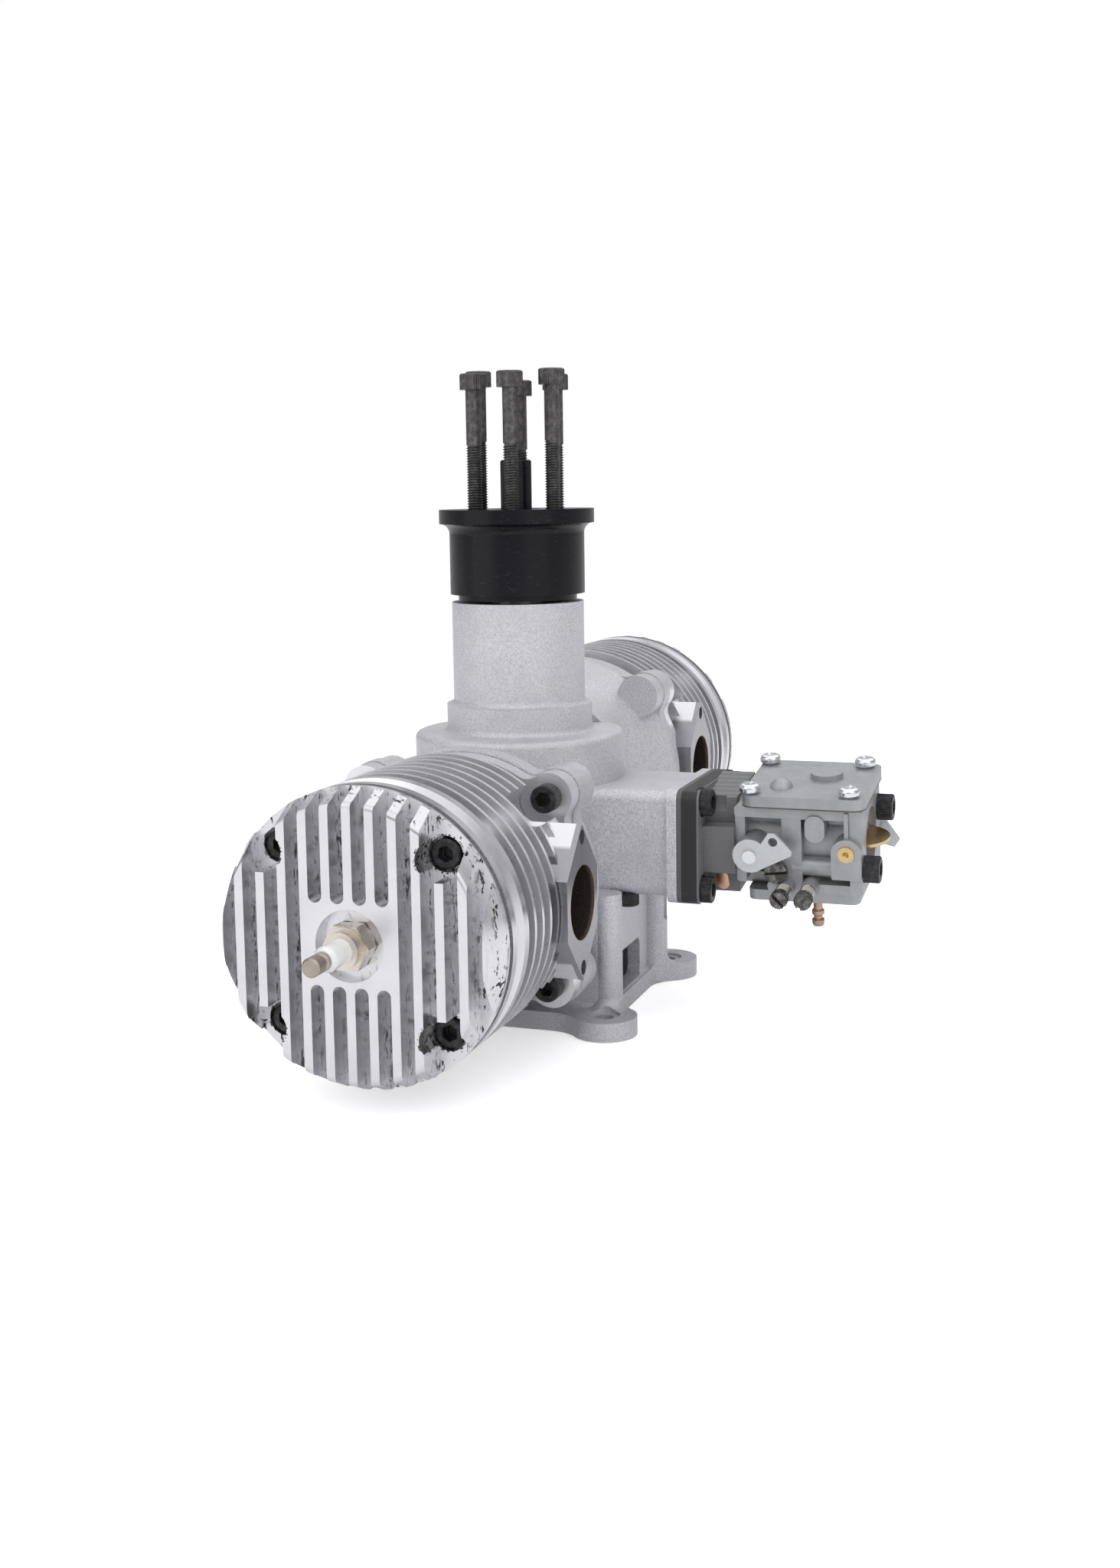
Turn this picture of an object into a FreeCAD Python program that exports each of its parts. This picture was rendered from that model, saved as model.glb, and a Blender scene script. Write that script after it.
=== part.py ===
import FreeCAD, Part
import os
import re
import Sketcher
from FreeCAD import Placement, Rotation, Vector

# Flat twin two-stroke aircraft engine, standing on its rear mount.
# The crankshaft axis is Z and the propeller flange is on top. The near cylinder points to -Y,
# the far one to +Y, and the exhausts, intake duct and carburettor point to +X.
# The origin is on the crankshaft axis, at the underside of the four mounting lugs.
# All sizes are millimetres.

DOC = FreeCAD.newDocument("flat_twin_engine")

# Driving dimensions
SIZES = {
    # Heights on the crankshaft axis
    "near_line": (58.15, "height of the near cylinder's axis"),
    "far_line": (80.9, "height of the far cylinder's axis"),
    "split_height": (73.0, "joint between the two crankcase halves"),
    "case_bottom": (23.0, "rear wall of the crankcase, outside"),
    "case_top": (106.3, "front shoulder of the crankcase"),
    "ring_top": (117.0, "top of the stepped ring round the nose"),
    "nose_top": (156.5, "open end of the nose tube"),
    "hub_bottom": (159.6, "lower end of the propeller hub"),
    "flange_bottom": (186.6, "underside of the propeller flange"),
    "flange_top": (192.0, "face that the propeller seats on"),
    # Crankcase
    "case_radius": (40.9, "outside of the barrel"),
    "case_edge": (2.5, "rounding of the barrel's front shoulder"),
    "chamber_radius": (35.5, "crank chamber"),
    "web_side_gap": (0.6, "between a crank web and the chamber's end"),
    "ring_radius": (28.3, "stepped ring round the nose"),
    "nose_radius": (25.6, "nose tube"),
    "nose_blend": (2.2, "concave blend at the nose's steps"),
    "nose_bore": (16.0, "bore of the nose between the bearings"),
    "pad_face": (59.5, "cylinder seat, from the crankshaft axis"),
    "pad_radius": (48.5, "round part of a cylinder pad"),
    "pad_depth": (7.5, "straight rim of a cylinder pad"),
    "pad_neck_radius": (36.0, "flare of a cylinder pad at its neck"),
    "pad_neck": (25.0, "start of the flare, from the crankshaft axis"),
    "spigot_hole": (31.0, "hole that a cylinder's spigot drops into"),
    "spigot_hole_start": (33.0, "inner end of that hole"),
    "pad_lug_radius": (9.0, "ear round a base screw, on the crankcase"),
    "pad_lug_depth": (17.5, "length of that ear"),
    "pad_blend": (6.0, "concave blend between an ear and the round rim"),
    # Rear body and mount
    "body_half_x": (44.0, "rear body, half width"),
    "body_half_y": (36.0, "rear body, half depth"),
    "body_top": (50.0, "top of the rear body"),
    "body_wall": (5.0, "wall of the rear body"),
    "post_out_x": (1.0, "corner post, its axis beyond the body's side"),
    "post_in_y": (5.0, "corner post, its axis within the body's near and far walls"),
    "post_radius": (5.5, "corner post"),
    "post_slot_width": (5.0, "upright recess in the far post"),
    "post_slot_depth": (1.6, "upright recess in the far post"),
    "post_slot_height": (20.0, "upright recess in the far post"),
    "plate_thick": (7.0, "mounting plate and lugs"),
    "plate_out_x": (2.3, "mounting plate, beyond the body's sides"),
    "plate_out_y": (10.0, "mounting plate, beyond the body's near and far walls"),
    "lug_out_x": (3.4, "mounting hole, beyond the body's side"),
    "lug_out_y": (7.0, "mounting hole, beyond the body's near or far wall"),
    "lug_radius": (12.0, "mounting lug"),
    "lug_blend": (14.0, "concave blend between a lug and the plate"),
    "mount_hole": (3.3, "radius of a mounting hole"),
    "spot_radius": (5.75, "spot face of a mounting hole"),
    "spot_depth": (1.0, "spot face of a mounting hole"),
    "window_near": (16.0, "window in the rear body, towards the near side"),
    "window_far": (14.0, "window in the rear body, towards the far side"),
    "window_corner": (3.5, "corners of the window"),
    "post_blend": (4.5, "flare at the foot of a corner post"),
    "wall_blend": (2.4, "concave blend between the rear body and the plate"),
    "blend_sink": (0.04, "how far those hollow surfaces run into the walls and the plate"),
    # Crankcase screws, M5
    "case_screw_x": (44.0, "side bosses"),
    "case_screw_y": (13.2, "side bosses"),
    "case_boss_radius": (7.0, "side bosses"),
    "case_boss_low": (60.0, "underside of a side boss"),
    "case_boss_high": (84.0, "top of a side boss"),
    "duct_screw_out": (6.0, "screws in the duct's walls, beyond the rear body's side"),
    "duct_screw_y": (21.0, "screws in the duct's walls"),
    "case_screw_bite": (9.0, "screw length in the front half"),
    # Intake duct
    "duct_start": (30.0, "inner end of the duct"),
    "duct_end": (67.3, "back of the duct's flange"),
    "duct_half": (25.0, "duct, half width"),
    "duct_low": (48.0, "duct, underside"),
    "duct_high": (88.0, "duct, top"),
    "duct_edge": (4.0, "rounded long edges of the duct"),
    "passage_half": (16.5, "passage, half width"),
    "passage_low": (53.5, "passage, underside"),
    "passage_high": (81.0, "passage, top"),
    "intake_face": (71.0, "face of the duct's flange"),
    "intake_half": (28.5, "intake flange, half width"),
    "intake_low": (46.5, "intake flange, underside"),
    "intake_high": (89.2, "intake flange, top"),
    "intake_corner": (4.0, "corner of the intake flange"),
    "intake_screw_y": (21.5, "intake screws"),
    "intake_screw_z": (16.4, "intake screws, above and below the flange's middle"),
    "intake_screw_bite": (14.0, "screw length in the crankcase"),
    "reed_plate": (1.8, "flange of the reed cage"),
    "reed_length": (24.0, "wedge of the reed cage"),
    "reed_half": (14.5, "wedge of the reed cage, half width"),
    "reed_half_height": (12.0, "wedge of the reed cage at its mouth"),
    "reed_tip": (1.5, "half height of the wedge's tip"),
    "reed_wall": (1.5, "walls of the wedge"),
    "petal_thick": (0.3, "reed petal"),
    "insulator_thick": (6.5, "plate of the insulator"),
    "insulator_sink": (2.0, "counterbore for an intake screw"),
    "block_end": (91.3, "face that the carburettor seats on"),
    "block_half": (15.5, "insulator block, half width"),
    "block_half_height": (18.5, "insulator block, half height"),
    "block_ear": (22.0, "ear for a carburettor screw, half width"),
    "block_ear_half": (9.0, "ear for a carburettor screw, half height"),
    # Cylinders, measured outwards from the crankshaft axis
    "bore_radius": (27.0, "cylinder bore"),
    "barrel_radius": (34.0, "cylinder between the fins"),
    "spigot_bottom": (50.0, "lower end of the cylinder"),
    "spigot_radius": (30.9, "cylinder inside the crankcase"),
    "base_gasket": (0.5, "gasket under a cylinder"),
    "base_thick": (8.0, "base flange"),
    "base_radius": (47.5, "round part of the base flange"),
    "base_lug_radius": (8.5, "ear round a base screw, on the cylinder"),
    "base_screw_x": (35.5, "base screw"),
    "base_screw_z": (34.0, "base screw"),
    "base_screw_bite": (14.0, "screw length in the crankcase"),
    "relief_radius": (7.6, "clearance round a base screw's head"),
    "relief_top": (97.0, "end of that clearance"),
    "fin_radius": (49.5, "fins"),
    "fin_thick": (1.8, "fins"),
    "fin_first": (76.6, "middle of the lowest fin"),
    "fin_pitch": (7.5, "from fin to fin"),
    "deck": (127.5, "top face of a cylinder"),
    "head_boss": (6.0, "column round a head screw"),
    "head_boss_start": (97.0, "lower end of that column"),
    "port_line": (80.9, "exhaust, from the crankshaft axis"),
    "port_radius": (13.1, "exhaust"),
    "port_face": (52.0, "exhaust face"),
    "port_reach": (27.5, "exhaust face, to its upper and lower corners"),
    "port_flat": (10.5, "exhaust face, half length of its upright sides"),
    "port_half": (16.3, "exhaust face, half width"),
    "port_root": (18.0, "inner end of the exhaust block"),
    "port_screw": (22.95, "tapped hole beside the exhaust"),
    "port_screw_radius": (2.6, "tapped hole beside the exhaust"),
    "port_screw_depth": (14.0, "tapped hole beside the exhaust"),
    # Cylinder heads
    "head_gasket": (0.5, "gasket under a head"),
    "head_rim": (4.0, "lowest ring of a head"),
    "head_neck": (46.0, "wide groove of a head"),
    "head_ring_low": (139.0, "second ring of a head"),
    "head_ring_high": (142.8, "second ring of a head"),
    "head_groove": (46.8, "narrow groove under the face"),
    "head_land": (145.6, "rim of the face, underside"),
    "face_level": (146.5, "floor between the ribs"),
    "rib_top": (157.6, "tops of the ribs"),
    "rim_rise": (1.8, "full rim of a head above the floor between the ribs"),
    "rib_radius": (44.0, "outline of the ribs at their tops"),
    "rib_width": (3.0, "rib"),
    "rib_pitch": (7.72, "from rib to rib"),
    "rib_round": (2.0, "rounding at the ends of the ribs"),
    "boss_half_high": (15.7, "land round the plug, upwards and downwards"),
    "short_rib": (22.0, "half length of the ribs between the screws"),
    "plug_recess": (11.8, "recess round the spark plug"),
    "plug_seat": (153.8, "seat of the spark plug"),
    "head_screw": (28.9, "head screw, both ways from the axis"),
    "head_screw_seat": (140.7, "underside of a head screw's head"),
    "head_screw_length": (30.0, "head screw"),
    "dome_depth": (8.5, "combustion chamber"),
    "dome_mouth": (22.0, "combustion chamber at the squish band"),
    # Spark plug
    "plug_thread": (5.0, "radius of the threaded shell"),
    "plug_hex": (14.0, "across the flats"),
    "plug_hex_height": (7.5, "hexagon"),
    "plug_collar": (6.0, "crimped collar"),
    "plug_collar_height": (3.0, "crimped collar"),
    "plug_nose": (4.2, "porcelain"),
    "plug_porcelain_top": (176.5, "end of the porcelain"),
    "plug_tip": (184.8, "end of the terminal"),
    "plug_terminal": (3.1, "terminal"),
    "plug_waist": (2.3, "waist of the terminal"),
    # Crank train
    "crank_throw": (22.0, "half the stroke"),
    "throw_gap": (15.0, "space between two crank webs"),
    "web_radius": (34.0, "crank web"),
    "web_thick": (8.8, "outer crank webs"),
    "shaft_radius": (10.0, "crankshaft in its bearings"),
    "shaft_shoulder": (13.5, "shoulder against a bearing"),
    "taper_start": (158.0, "crankshaft taper"),
    "taper_end": (180.0, "crankshaft taper"),
    "taper_tip": (8.5, "small end of the taper"),
    "stud_radius": (4.0, "threaded end of the crankshaft"),
    "stud_below": (10.8, "threaded end of the crankshaft, below the sleeve's top"),
    "bearing_radius": (23.5, "main bearing, outside"),
    "bearing_width": (14.0, "main bearing"),
    "race_thick": (4.0, "races of a main bearing"),
    "nose_bearing_radius": (18.5, "nose bearing, outside"),
    "nose_bearing_low": (139.0, "nose bearing, lower face"),
    "nose_bearing_width": (9.0, "nose bearing"),
    "nose_race": (2.9, "races of the nose bearing"),
    "roller_gap": (0.05, "running clearance of rollers and shafts"),
    "seal_low": (149.0, "oil seal, lower face"),
    "seal_high": (155.5, "oil seal, upper face"),
    "rod_length": (82.0, "between the eyes"),
    "rod_big": (12.5, "big end"),
    "rod_small": (9.0, "small end"),
    "rod_thick": (14.0, "rod at its ends"),
    "rod_web": (7.0, "rod between its ends"),
    "rod_root": (8.0, "half width of the rod at the big end"),
    "rod_neck": (5.5, "half width of the rod at the small end"),
    "rod_recess": (2.0, "depth of the recess in a rod's side"),
    "crankpin_radius": (8.0, "crankpin"),
    "crankpin_gap": (0.3, "end clearance of a crankpin"),
    "pin_radius": (6.5, "wrist pin"),
    "pin_bore": (4.0, "wrist pin, inside"),
    "pin_half": (21.0, "half length of a wrist pin"),
    "piston_gap": (0.1, "between piston and bore"),
    "piston_crown": (22.0, "from the wrist pin to the crown"),
    "piston_height": (46.5, "piston"),
    "crown_thick": (6.0, "crown"),
    "skirt_wall": (3.5, "skirt"),
    "pin_boss": (10.0, "boss round the wrist pin"),
    "pin_boss_gap": (10.0, "from the middle to a boss"),
    "ring_thick": (1.2, "piston ring"),
    "ring_depth": (2.4, "groove of a piston ring"),
    "ring_first": (4.0, "top ring, from the crown"),
    "ring_step": (3.6, "from ring to ring"),
    # Propeller hub
    "hub_radius": (26.1, "hub"),
    "hub_spigot": (23.0, "dark collar under the hub"),
    "hub_spigot_low": (157.4, "dark collar under the hub"),
    "flange_radius": (30.0, "propeller flange"),
    "hub_blend": (3.9, "concave blend under the flange"),
    "hub_pocket": (9.4, "recess for the centre nut"),
    "hub_pocket_low": (182.0, "floor of that recess"),
    "sleeve_radius": (6.0, "centring sleeve"),
    "sleeve_stand": (28.8, "centring sleeve, above the recess's floor"),
    "sleeve_nut": (9.0, "foot of the centring sleeve"),
    "sleeve_nut_height": (5.0, "foot of the centring sleeve"),
    "bolt_circle": (17.3, "radius of the bolt circle"),
    "bolt_seat": (237.3, "undersides of the bolt heads"),
    "bolt_bite": (20.0, "bolt length in the hub"),
    "bolt_relief": (0.4, "how much thinner a bolt is in the hub, down to its thread's core"),
    "bolt_room": (3.0, "depth of the tapped holes below the bolts"),
    "bolt_mouth": (0.6, "depth of the wider mouths of the tapped holes"),
    "bolt_out_1": (0.3, "how much further out the first bolt stands"),
    "bolt_out_2": (1.4, "how much further out the second bolt stands"),
    "bolt_out_3": (0.2, "how much further out the third bolt stands"),
    "bolt_out_4": (-1.5, "how much further out the fourth bolt stands"),
    "bolt_out_5": (1.7, "how much further out the fifth bolt stands"),
    "bolt_out_6": (-0.1, "how much further out the sixth bolt stands"),
    "bolt_turn": (-75.6, "direction of the first bolt, in degrees"),
    # Screws
    "m6_radius": (3.0, "M6"),
    "m6_head": (5.0, "M6 socket head"),
    "m6_height": (6.0, "M6 socket head"),
    "m6_socket": (5.0, "M6 socket, across the flats"),
    "m5_radius": (2.5, "M5"),
    "m5_head": (4.25, "M5 socket head"),
    "m5_height": (5.0, "M5 socket head"),
    "m5_socket": (4.0, "M5 socket, across the flats"),
    "m4_radius": (2.0, "M4"),
    "m4_head": (3.9, "M4 pan head"),
    "m4_height": (2.6, "M4 pan head"),
    "washer_thick": (0.9, "spring washer under a pan head"),
    "socket_depth": (3.0, "hexagon sockets"),
    "screw_gap": (0.05, "between a screw and its hole"),
    # Carburettor, in its own frame: X as the engine, V across, W up, rolled about the intake's axis
    "intake_line": (70.0, "height of the carburettor's bore"),
    "carb_roll": (9.0, "roll of the carburettor, in degrees"),
    "carb_end": (138.0, "inlet face"),
    "carb_half": (20.0, "body, half width"),
    "carb_low": (-16.0, "body, underside"),
    "carb_high": (17.0, "body, top"),
    "carb_bore": (11.5, "bore"),
    "carb_floor": (12.0, "floor of the hollows in the near face"),
    "barrel_wall": (3.3, "wall round the bore, seen in those hollows"),
    "rail_high": (4.2, "top rail of the near face"),
    "rail_low": (3.6, "bottom rail of the near face"),
    "rear_flange": (3.6, "flange against the insulator"),
    "front_flange": (4.6, "flange at the inlet"),
    "rib_start": (108.6, "upright rib of the near face"),
    "rib_across": (7.2, "upright rib of the near face"),
    "venturi_radius": (9.5, "narrowest part of the bore"),
    "cover_start": (94.0, "cover, crankcase end"),
    "cover_end": (139.3, "cover, inlet end"),
    "cover_half": (22.0, "cover, half width"),
    "cover_corner": (4.5, "corner of the cover"),
    "cover_gasket": (0.6, "gasket under the cover"),
    "cover_thick": (4.0, "cover"),
    "cover_screw_low": (97.0, "cover screws, crankcase end"),
    "cover_screw_high": (133.3, "cover screws, inlet end"),
    "cover_screw_v": (17.8, "cover screws"),
    "cover_screw_bite": (7.0, "cover screws in the body"),
    "cover_boss_x": (121.3, "round boss on the cover"),
    "cover_boss_v": (3.6, "round boss on the cover"),
    "cover_boss": (6.0, "round boss on the cover"),
    "cover_boss_height": (2.0, "round boss on the cover"),
    "cover_bump_x": (107.0, "half-round bump on the cover"),
    "cover_bump_v": (-10.0, "half-round bump on the cover"),
    "cover_bump": (4.4, "half-round bump on the cover"),
    "pump_half": (18.5, "pump cover, half width"),
    "pump_thick": (4.0, "pump cover"),
    "mount_screw_v": (16.0, "long carburettor screws"),
    "mount_screw_w": (6.5, "long carburettor screws"),
    "mount_screw_bite": (9.0, "long screws in the insulator"),
    "throttle_x": (98.0, "throttle shaft"),
    "throttle_radius": (2.5, "throttle shaft"),
    "throttle_out": (24.4, "near end of the throttle shaft's boss"),
    "throttle_boss": (6.0, "boss round the throttle shaft"),
    "plate_gap": (0.15, "between a throttle or choke plate and the bore"),
    "plate_sheet": (1.2, "throttle and choke plates"),
    "lever_sheet": (1.6, "levers"),
    "lever_gap": (0.4, "between a lever and its boss"),
    "lever_eye": (6.4, "round end of the throttle lever"),
    "lever_hole_x": (8.7, "linkage hole, from the shaft"),
    "lever_hole_w": (5.8, "linkage hole, from the shaft"),
    "lever_hole": (1.7, "linkage hole"),
    "lever_tip_x": (15.6, "tip of the throttle lever, from the shaft"),
    "lever_tip_w": (1.4, "tip of the throttle lever, from the shaft"),
    "choke_x": (133.5, "choke shaft"),
    "choke_radius": (2.2, "choke shaft"),
    "choke_out": (22.4, "far end of the choke shaft's boss"),
    "choke_boss": (4.5, "boss round the choke shaft"),
    "choke_tip_x": (9.5, "tip of the choke lever, from the shaft"),
    "choke_tip_w": (-12.0, "tip of the choke lever, from the shaft"),
    "choke_eye": (4.6, "round end of the choke lever"),
    "idle_x": (106.6, "idle speed screw"),
    "idle_w": (-7.0, "idle speed screw"),
    "idle_head": (3.8, "idle speed screw"),
    "idle_head_length": (3.0, "idle speed screw"),
    "idle_spring": (0.4, "gap under the idle speed screw's head"),
    "idle_boss_length": (1.0, "boss round the idle speed screw"),
    "idle_bite": (0.4, "idle speed screw in the body's wall"),
    "needle_x": (109.8, "low speed needle"),
    "needle_step": (8.8, "from the low to the high speed needle"),
    "needle_w": (-13.5, "needles"),
    "needle_shank": (1.6, "needles"),
    "needle_head": (3.3, "needles"),
    "needle_spring": (7.0, "length of a needle's spring"),
    "needle_head_length": (4.5, "needles"),
    "needle_boss": (3.3, "boss round a needle"),
    "needle_boss_length": (3.5, "boss round a needle"),
    "spring_wire": (0.9, "wire of a needle's spring"),
    "spring_radius": (2.9, "outside of a needle's spring"),
    "nipple_x": (120.4, "fuel nipple"),
    "nipple_v": (-15.0, "fuel nipple"),
    "nipple_length": (10.0, "fuel nipple"),
    "nipple_radius": (2.3, "fuel nipple"),
    "nipple_bore": (1.1, "fuel nipple"),
    "plug_x": (132.5, "brass plug"),
    "plug_w": (1.0, "brass plug"),
    "plug_radius": (3.0, "brass plug"),
    "plug_boss": (5.5, "boss round the brass plug"),
    "plug_boss_length": (2.5, "boss round the brass plug"),
    "tower_x": (121.0, "upright oval boss on the near face"),
    "tower_w": (9.5, "upright oval boss on the near face"),
    "tower_radius": (3.6, "upright oval boss on the near face"),
    "tower_length": (3.0, "upright oval boss on the near face"),
}

SHEET = DOC.addObject("Spreadsheet::Sheet", "Sizes")
for row, (name, (amount, note)) in enumerate(SIZES.items(), start=1):
    SHEET.set(f"A{row}", name)
    SHEET.set(f"B{row}", str(amount))
    SHEET.setAlias(f"B{row}", name)
    SHEET.set(f"C{row}", note)
DOC.recompute()

# Formulas are written with the sizes' names, and every feature is bound to them
CYLINDER_FINS = 7
HEAD_RIBS = 6
PROP_BOLTS = 6
BEARING_ROLLERS = 10
CORNERS = ((1, 1), (1, -1), (-1, 1), (-1, -1))
TURN = {
    "z": Rotation(),
    "-z": Rotation(Vector(1, 0, 0), 180),
    "x": Rotation(Vector(0, 1, 0), 90),
    "-x": Rotation(Vector(0, 1, 0), -90),
    "y": Rotation(Vector(1, 0, 0), -90),
    "-y": Rotation(Vector(1, 0, 0), 90),
}
POST_X = "(body_half_x + post_out_x)"
POST_Y = "(body_half_y - post_in_y)"
PLATE_X = "(body_half_x + plate_out_x)"
PLATE_Y = "(body_half_y + plate_out_y)"
LUG_X = "(body_half_x + lug_out_x)"
LUG_Y = "(body_half_y + lug_out_y)"
SLEEVE_TOP = "(hub_pocket_low + sleeve_stand)"
STUD_TOP = "(hub_pocket_low + sleeve_stand - stud_below)"
PARTS = {}


def formula(text):
    """The expression for a formula written with the sizes' names."""
    return re.sub(r"[a-z][a-z0-9_]*", lambda word: f"Sizes.{word[0]}" if word[0] in SIZES else word[0], str(text))


def amount_of(text):
    """The present value of a formula."""
    found = SHEET.evalExpression(formula(text))
    return float(getattr(found, "Value", found))


def bind(thing, prop, text):
    thing.setExpression(prop, formula(text))


def place(thing, at, axis="z"):
    """Turn a feature's Z to an axis and bind its position."""
    thing.Placement = Placement(Vector(), TURN[axis])
    for letter, text in zip("xyz", at):
        bind(thing, f"Placement.Base.{letter}", text)
    return thing


def along(at, axis, distance):
    """The point that lies a distance further along an axis."""
    sign = "-" if axis.startswith("-") else "+"
    return tuple(f"({text}) {sign} ({distance})" if letter == axis[-1] else text for letter, text in zip("xyz", at))


def keep(label, thing):
    """Name a finished sub-part."""
    thing.Label = label
    PARTS[label] = thing
    return thing


# Primitives and booleans
def cylinder(radius, length, at=(0, 0, 0), axis="z"):
    thing = DOC.addObject("Part::Cylinder", "cylinder")
    bind(thing, "Radius", radius)
    bind(thing, "Height", length)
    return place(thing, at, axis)


def cone(radius, end_radius, length, at=(0, 0, 0), axis="z"):
    thing = DOC.addObject("Part::Cone", "cone")
    bind(thing, "Radius1", radius)
    bind(thing, "Radius2", end_radius)
    bind(thing, "Height", length)
    return place(thing, at, axis)


def ball(radius, at):
    thing = DOC.addObject("Part::Sphere", "ball")
    bind(thing, "Radius", radius)
    return place(thing, at)


def torus(radius, tube, at, axis="z"):
    thing = DOC.addObject("Part::Torus", "torus")
    bind(thing, "Radius1", radius)
    bind(thing, "Radius2", tube)
    return place(thing, at, axis)


def prism(sides, across, length, at, axis="z"):
    """A regular prism, its size measured across the flats."""
    thing = DOC.addObject("Part::Prism", "prism")
    thing.Polygon = sides
    bind(thing, "Circumradius", f"({across}) / 2 / cos({180 / sides})")
    bind(thing, "Height", length)
    return place(thing, at, axis)


def box(x, y, z):
    """A block between two stations on each axis."""
    thing = DOC.addObject("Part::Box", "block")
    for prop, (low, high) in zip(("Length", "Width", "Height"), (x, y, z)):
        bind(thing, prop, f"({high}) - ({low})")
    return place(thing, (x[0], y[0], z[0]))


def wedge(x, y, z, z_tip):
    """A block whose low X end has another height."""
    thing = DOC.addObject("Part::Wedge", "wedge")
    bind(thing, "Xmin", z_tip[0])
    bind(thing, "Xmax", z_tip[1])
    bind(thing, "Ymin", x[0])
    bind(thing, "Ymax", x[1])
    bind(thing, "Zmin", y[0])
    bind(thing, "Zmax", y[1])
    bind(thing, "X2min", z[0])
    bind(thing, "X2max", z[1])
    bind(thing, "Z2min", y[0])
    bind(thing, "Z2max", y[1])
    thing.Placement = Placement(Vector(), Rotation(Vector(0, 0, 1), Vector(1, 0, 0), Vector(0, 1, 0)))
    return thing


def fuse(*things):
    joined = DOC.addObject("Part::MultiFuse", "joined")
    joined.Shapes = list(things)
    joined.Refine = True
    return joined


def cut(base, *tools):
    thing = DOC.addObject("Part::Cut", "cut")
    thing.Base = base
    thing.Tool = tools[0] if len(tools) == 1 else fuse(*tools)
    thing.Refine = True
    return thing


def common(first, second):
    thing = DOC.addObject("Part::Common", "common")
    thing.Base = first
    thing.Tool = second
    thing.Refine = True
    return thing


def group(things):
    """Separate solids that share one sub-part."""
    thing = DOC.addObject("Part::Compound", "group")
    thing.Links = list(things)
    return thing


def rounded(base, radius, wanted):
    """Round the edges of a feature that a test picks."""
    DOC.recompute()
    thing = DOC.addObject("Part::Fillet", "rounded")
    thing.Base = base
    size = amount_of(radius)
    picked = [number for number, edge in enumerate(base.Shape.Edges, start=1) if wanted(edge)]
    thing.Edges = [(number, size, size) for number in picked]
    return thing


def upright_edge(axis):
    """A test for straight edges that run along an axis."""
    def test(edge):
        run = edge.Vertexes[-1].Point - edge.Vertexes[0].Point
        straight = edge.Curve.TypeId == "Part::GeomLine"
        return straight and abs(getattr(run, axis)) > 0.999 * run.Length
    return test


def rounded_box(x, y, z, radius, axis="z"):
    return rounded(box(x, y, z), radius, upright_edge(axis))


def socket_screw(size, length, at, axis):
    """A socket head screw, its underside at a point and its head along the axis."""
    head = cylinder(f"{size}_head", f"{size}_height", at, axis)
    shank = cylinder(f"{size}_radius", length, along(at, axis, f"-({length})"), axis)
    socket = prism(6, f"{size}_socket", "socket_depth + 1", along(at, axis, f"{size}_height - socket_depth"), axis)
    return cut(fuse(head, shank), socket)


# Sketched bodies
def body(label=None):
    thing = DOC.addObject("PartDesign::Body", "body")
    if label:
        keep(label, thing)
    return thing


def sketch(owner, plane, shift, outlines):
    """A sketch on one of a body's own planes. An outline is a list of corners, or (x, y, radius) of a circle."""
    drawing = owner.newObject("Sketcher::SketchObject", "sketch")
    base = next(item for item in owner.Origin.OriginFeatures if item.Role == f"{plane}_Plane")
    drawing.AttachmentSupport = (base, [""])
    drawing.MapMode = "FlatFace"
    bind(drawing, "AttachmentOffset.Base.z", shift)
    for outline in outlines:
        if isinstance(outline, tuple):
            draw_circle(drawing, *outline)
        else:
            draw_polygon(drawing, outline)
    return drawing


def fix_point(drawing, curve, vertex, x, y):
    for kind, text in (("DistanceX", x), ("DistanceY", y)):
        rule = drawing.addConstraint(Sketcher.Constraint(kind, -1, 1, curve, vertex, amount_of(text)))
        drawing.setExpression(f"Constraints[{rule}]", formula(text))


def draw_polygon(drawing, corners):
    points = [Vector(amount_of(x), amount_of(y), 0) for x, y in corners]
    first = drawing.GeometryCount
    count = len(points)
    for number, start in enumerate(points):
        drawing.addGeometry(Part.LineSegment(start, points[(number + 1) % count]), False)
    for number in range(count):
        follower = first + (number + 1) % count
        drawing.addConstraint(Sketcher.Constraint("Coincident", first + number, 2, follower, 1))
    for number, (x, y) in enumerate(corners):
        fix_point(drawing, first + number, 1, x, y)


def draw_circle(drawing, x, y, radius):
    centre = Vector(amount_of(x), amount_of(y), 0)
    curve = drawing.addGeometry(Part.Circle(centre, Vector(0, 0, 1), amount_of(radius)), False)
    fix_point(drawing, curve, 3, x, y)
    rule = drawing.addConstraint(Sketcher.Constraint("Radius", curve, amount_of(radius)))
    drawing.setExpression(f"Constraints[{rule}]", formula(radius))


def pad(owner, plane, shift, outlines, length, back=False):
    drawing = sketch(owner, plane, shift, outlines)
    feature = owner.newObject("PartDesign::Pad", "pad")
    feature.Profile = drawing
    bind(feature, "Length", length)
    feature.Reversed = back
    return feature


def pocket(owner, plane, shift, outlines, length, back=False):
    drawing = sketch(owner, plane, shift, outlines)
    feature = owner.newObject("PartDesign::Pocket", "pocket")
    feature.Profile = drawing
    bind(feature, "Length", length)
    feature.Reversed = back
    return feature


def lathe(owner, outline):
    """Turn an outline of (radius, height) corners about the body's Z axis."""
    drawing = sketch(owner, "XZ", 0, [outline])
    feature = owner.newObject("PartDesign::Revolution", "turned")
    feature.Profile = drawing
    feature.ReferenceAxis = (drawing, ["V_Axis"])
    feature.Angle = 360
    return owner


def step(radius, low, high, inner=0):
    """The outline of a plain ring or disc."""
    return [(inner, low), (radius, low), (radius, high), (inner, high)]


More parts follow.
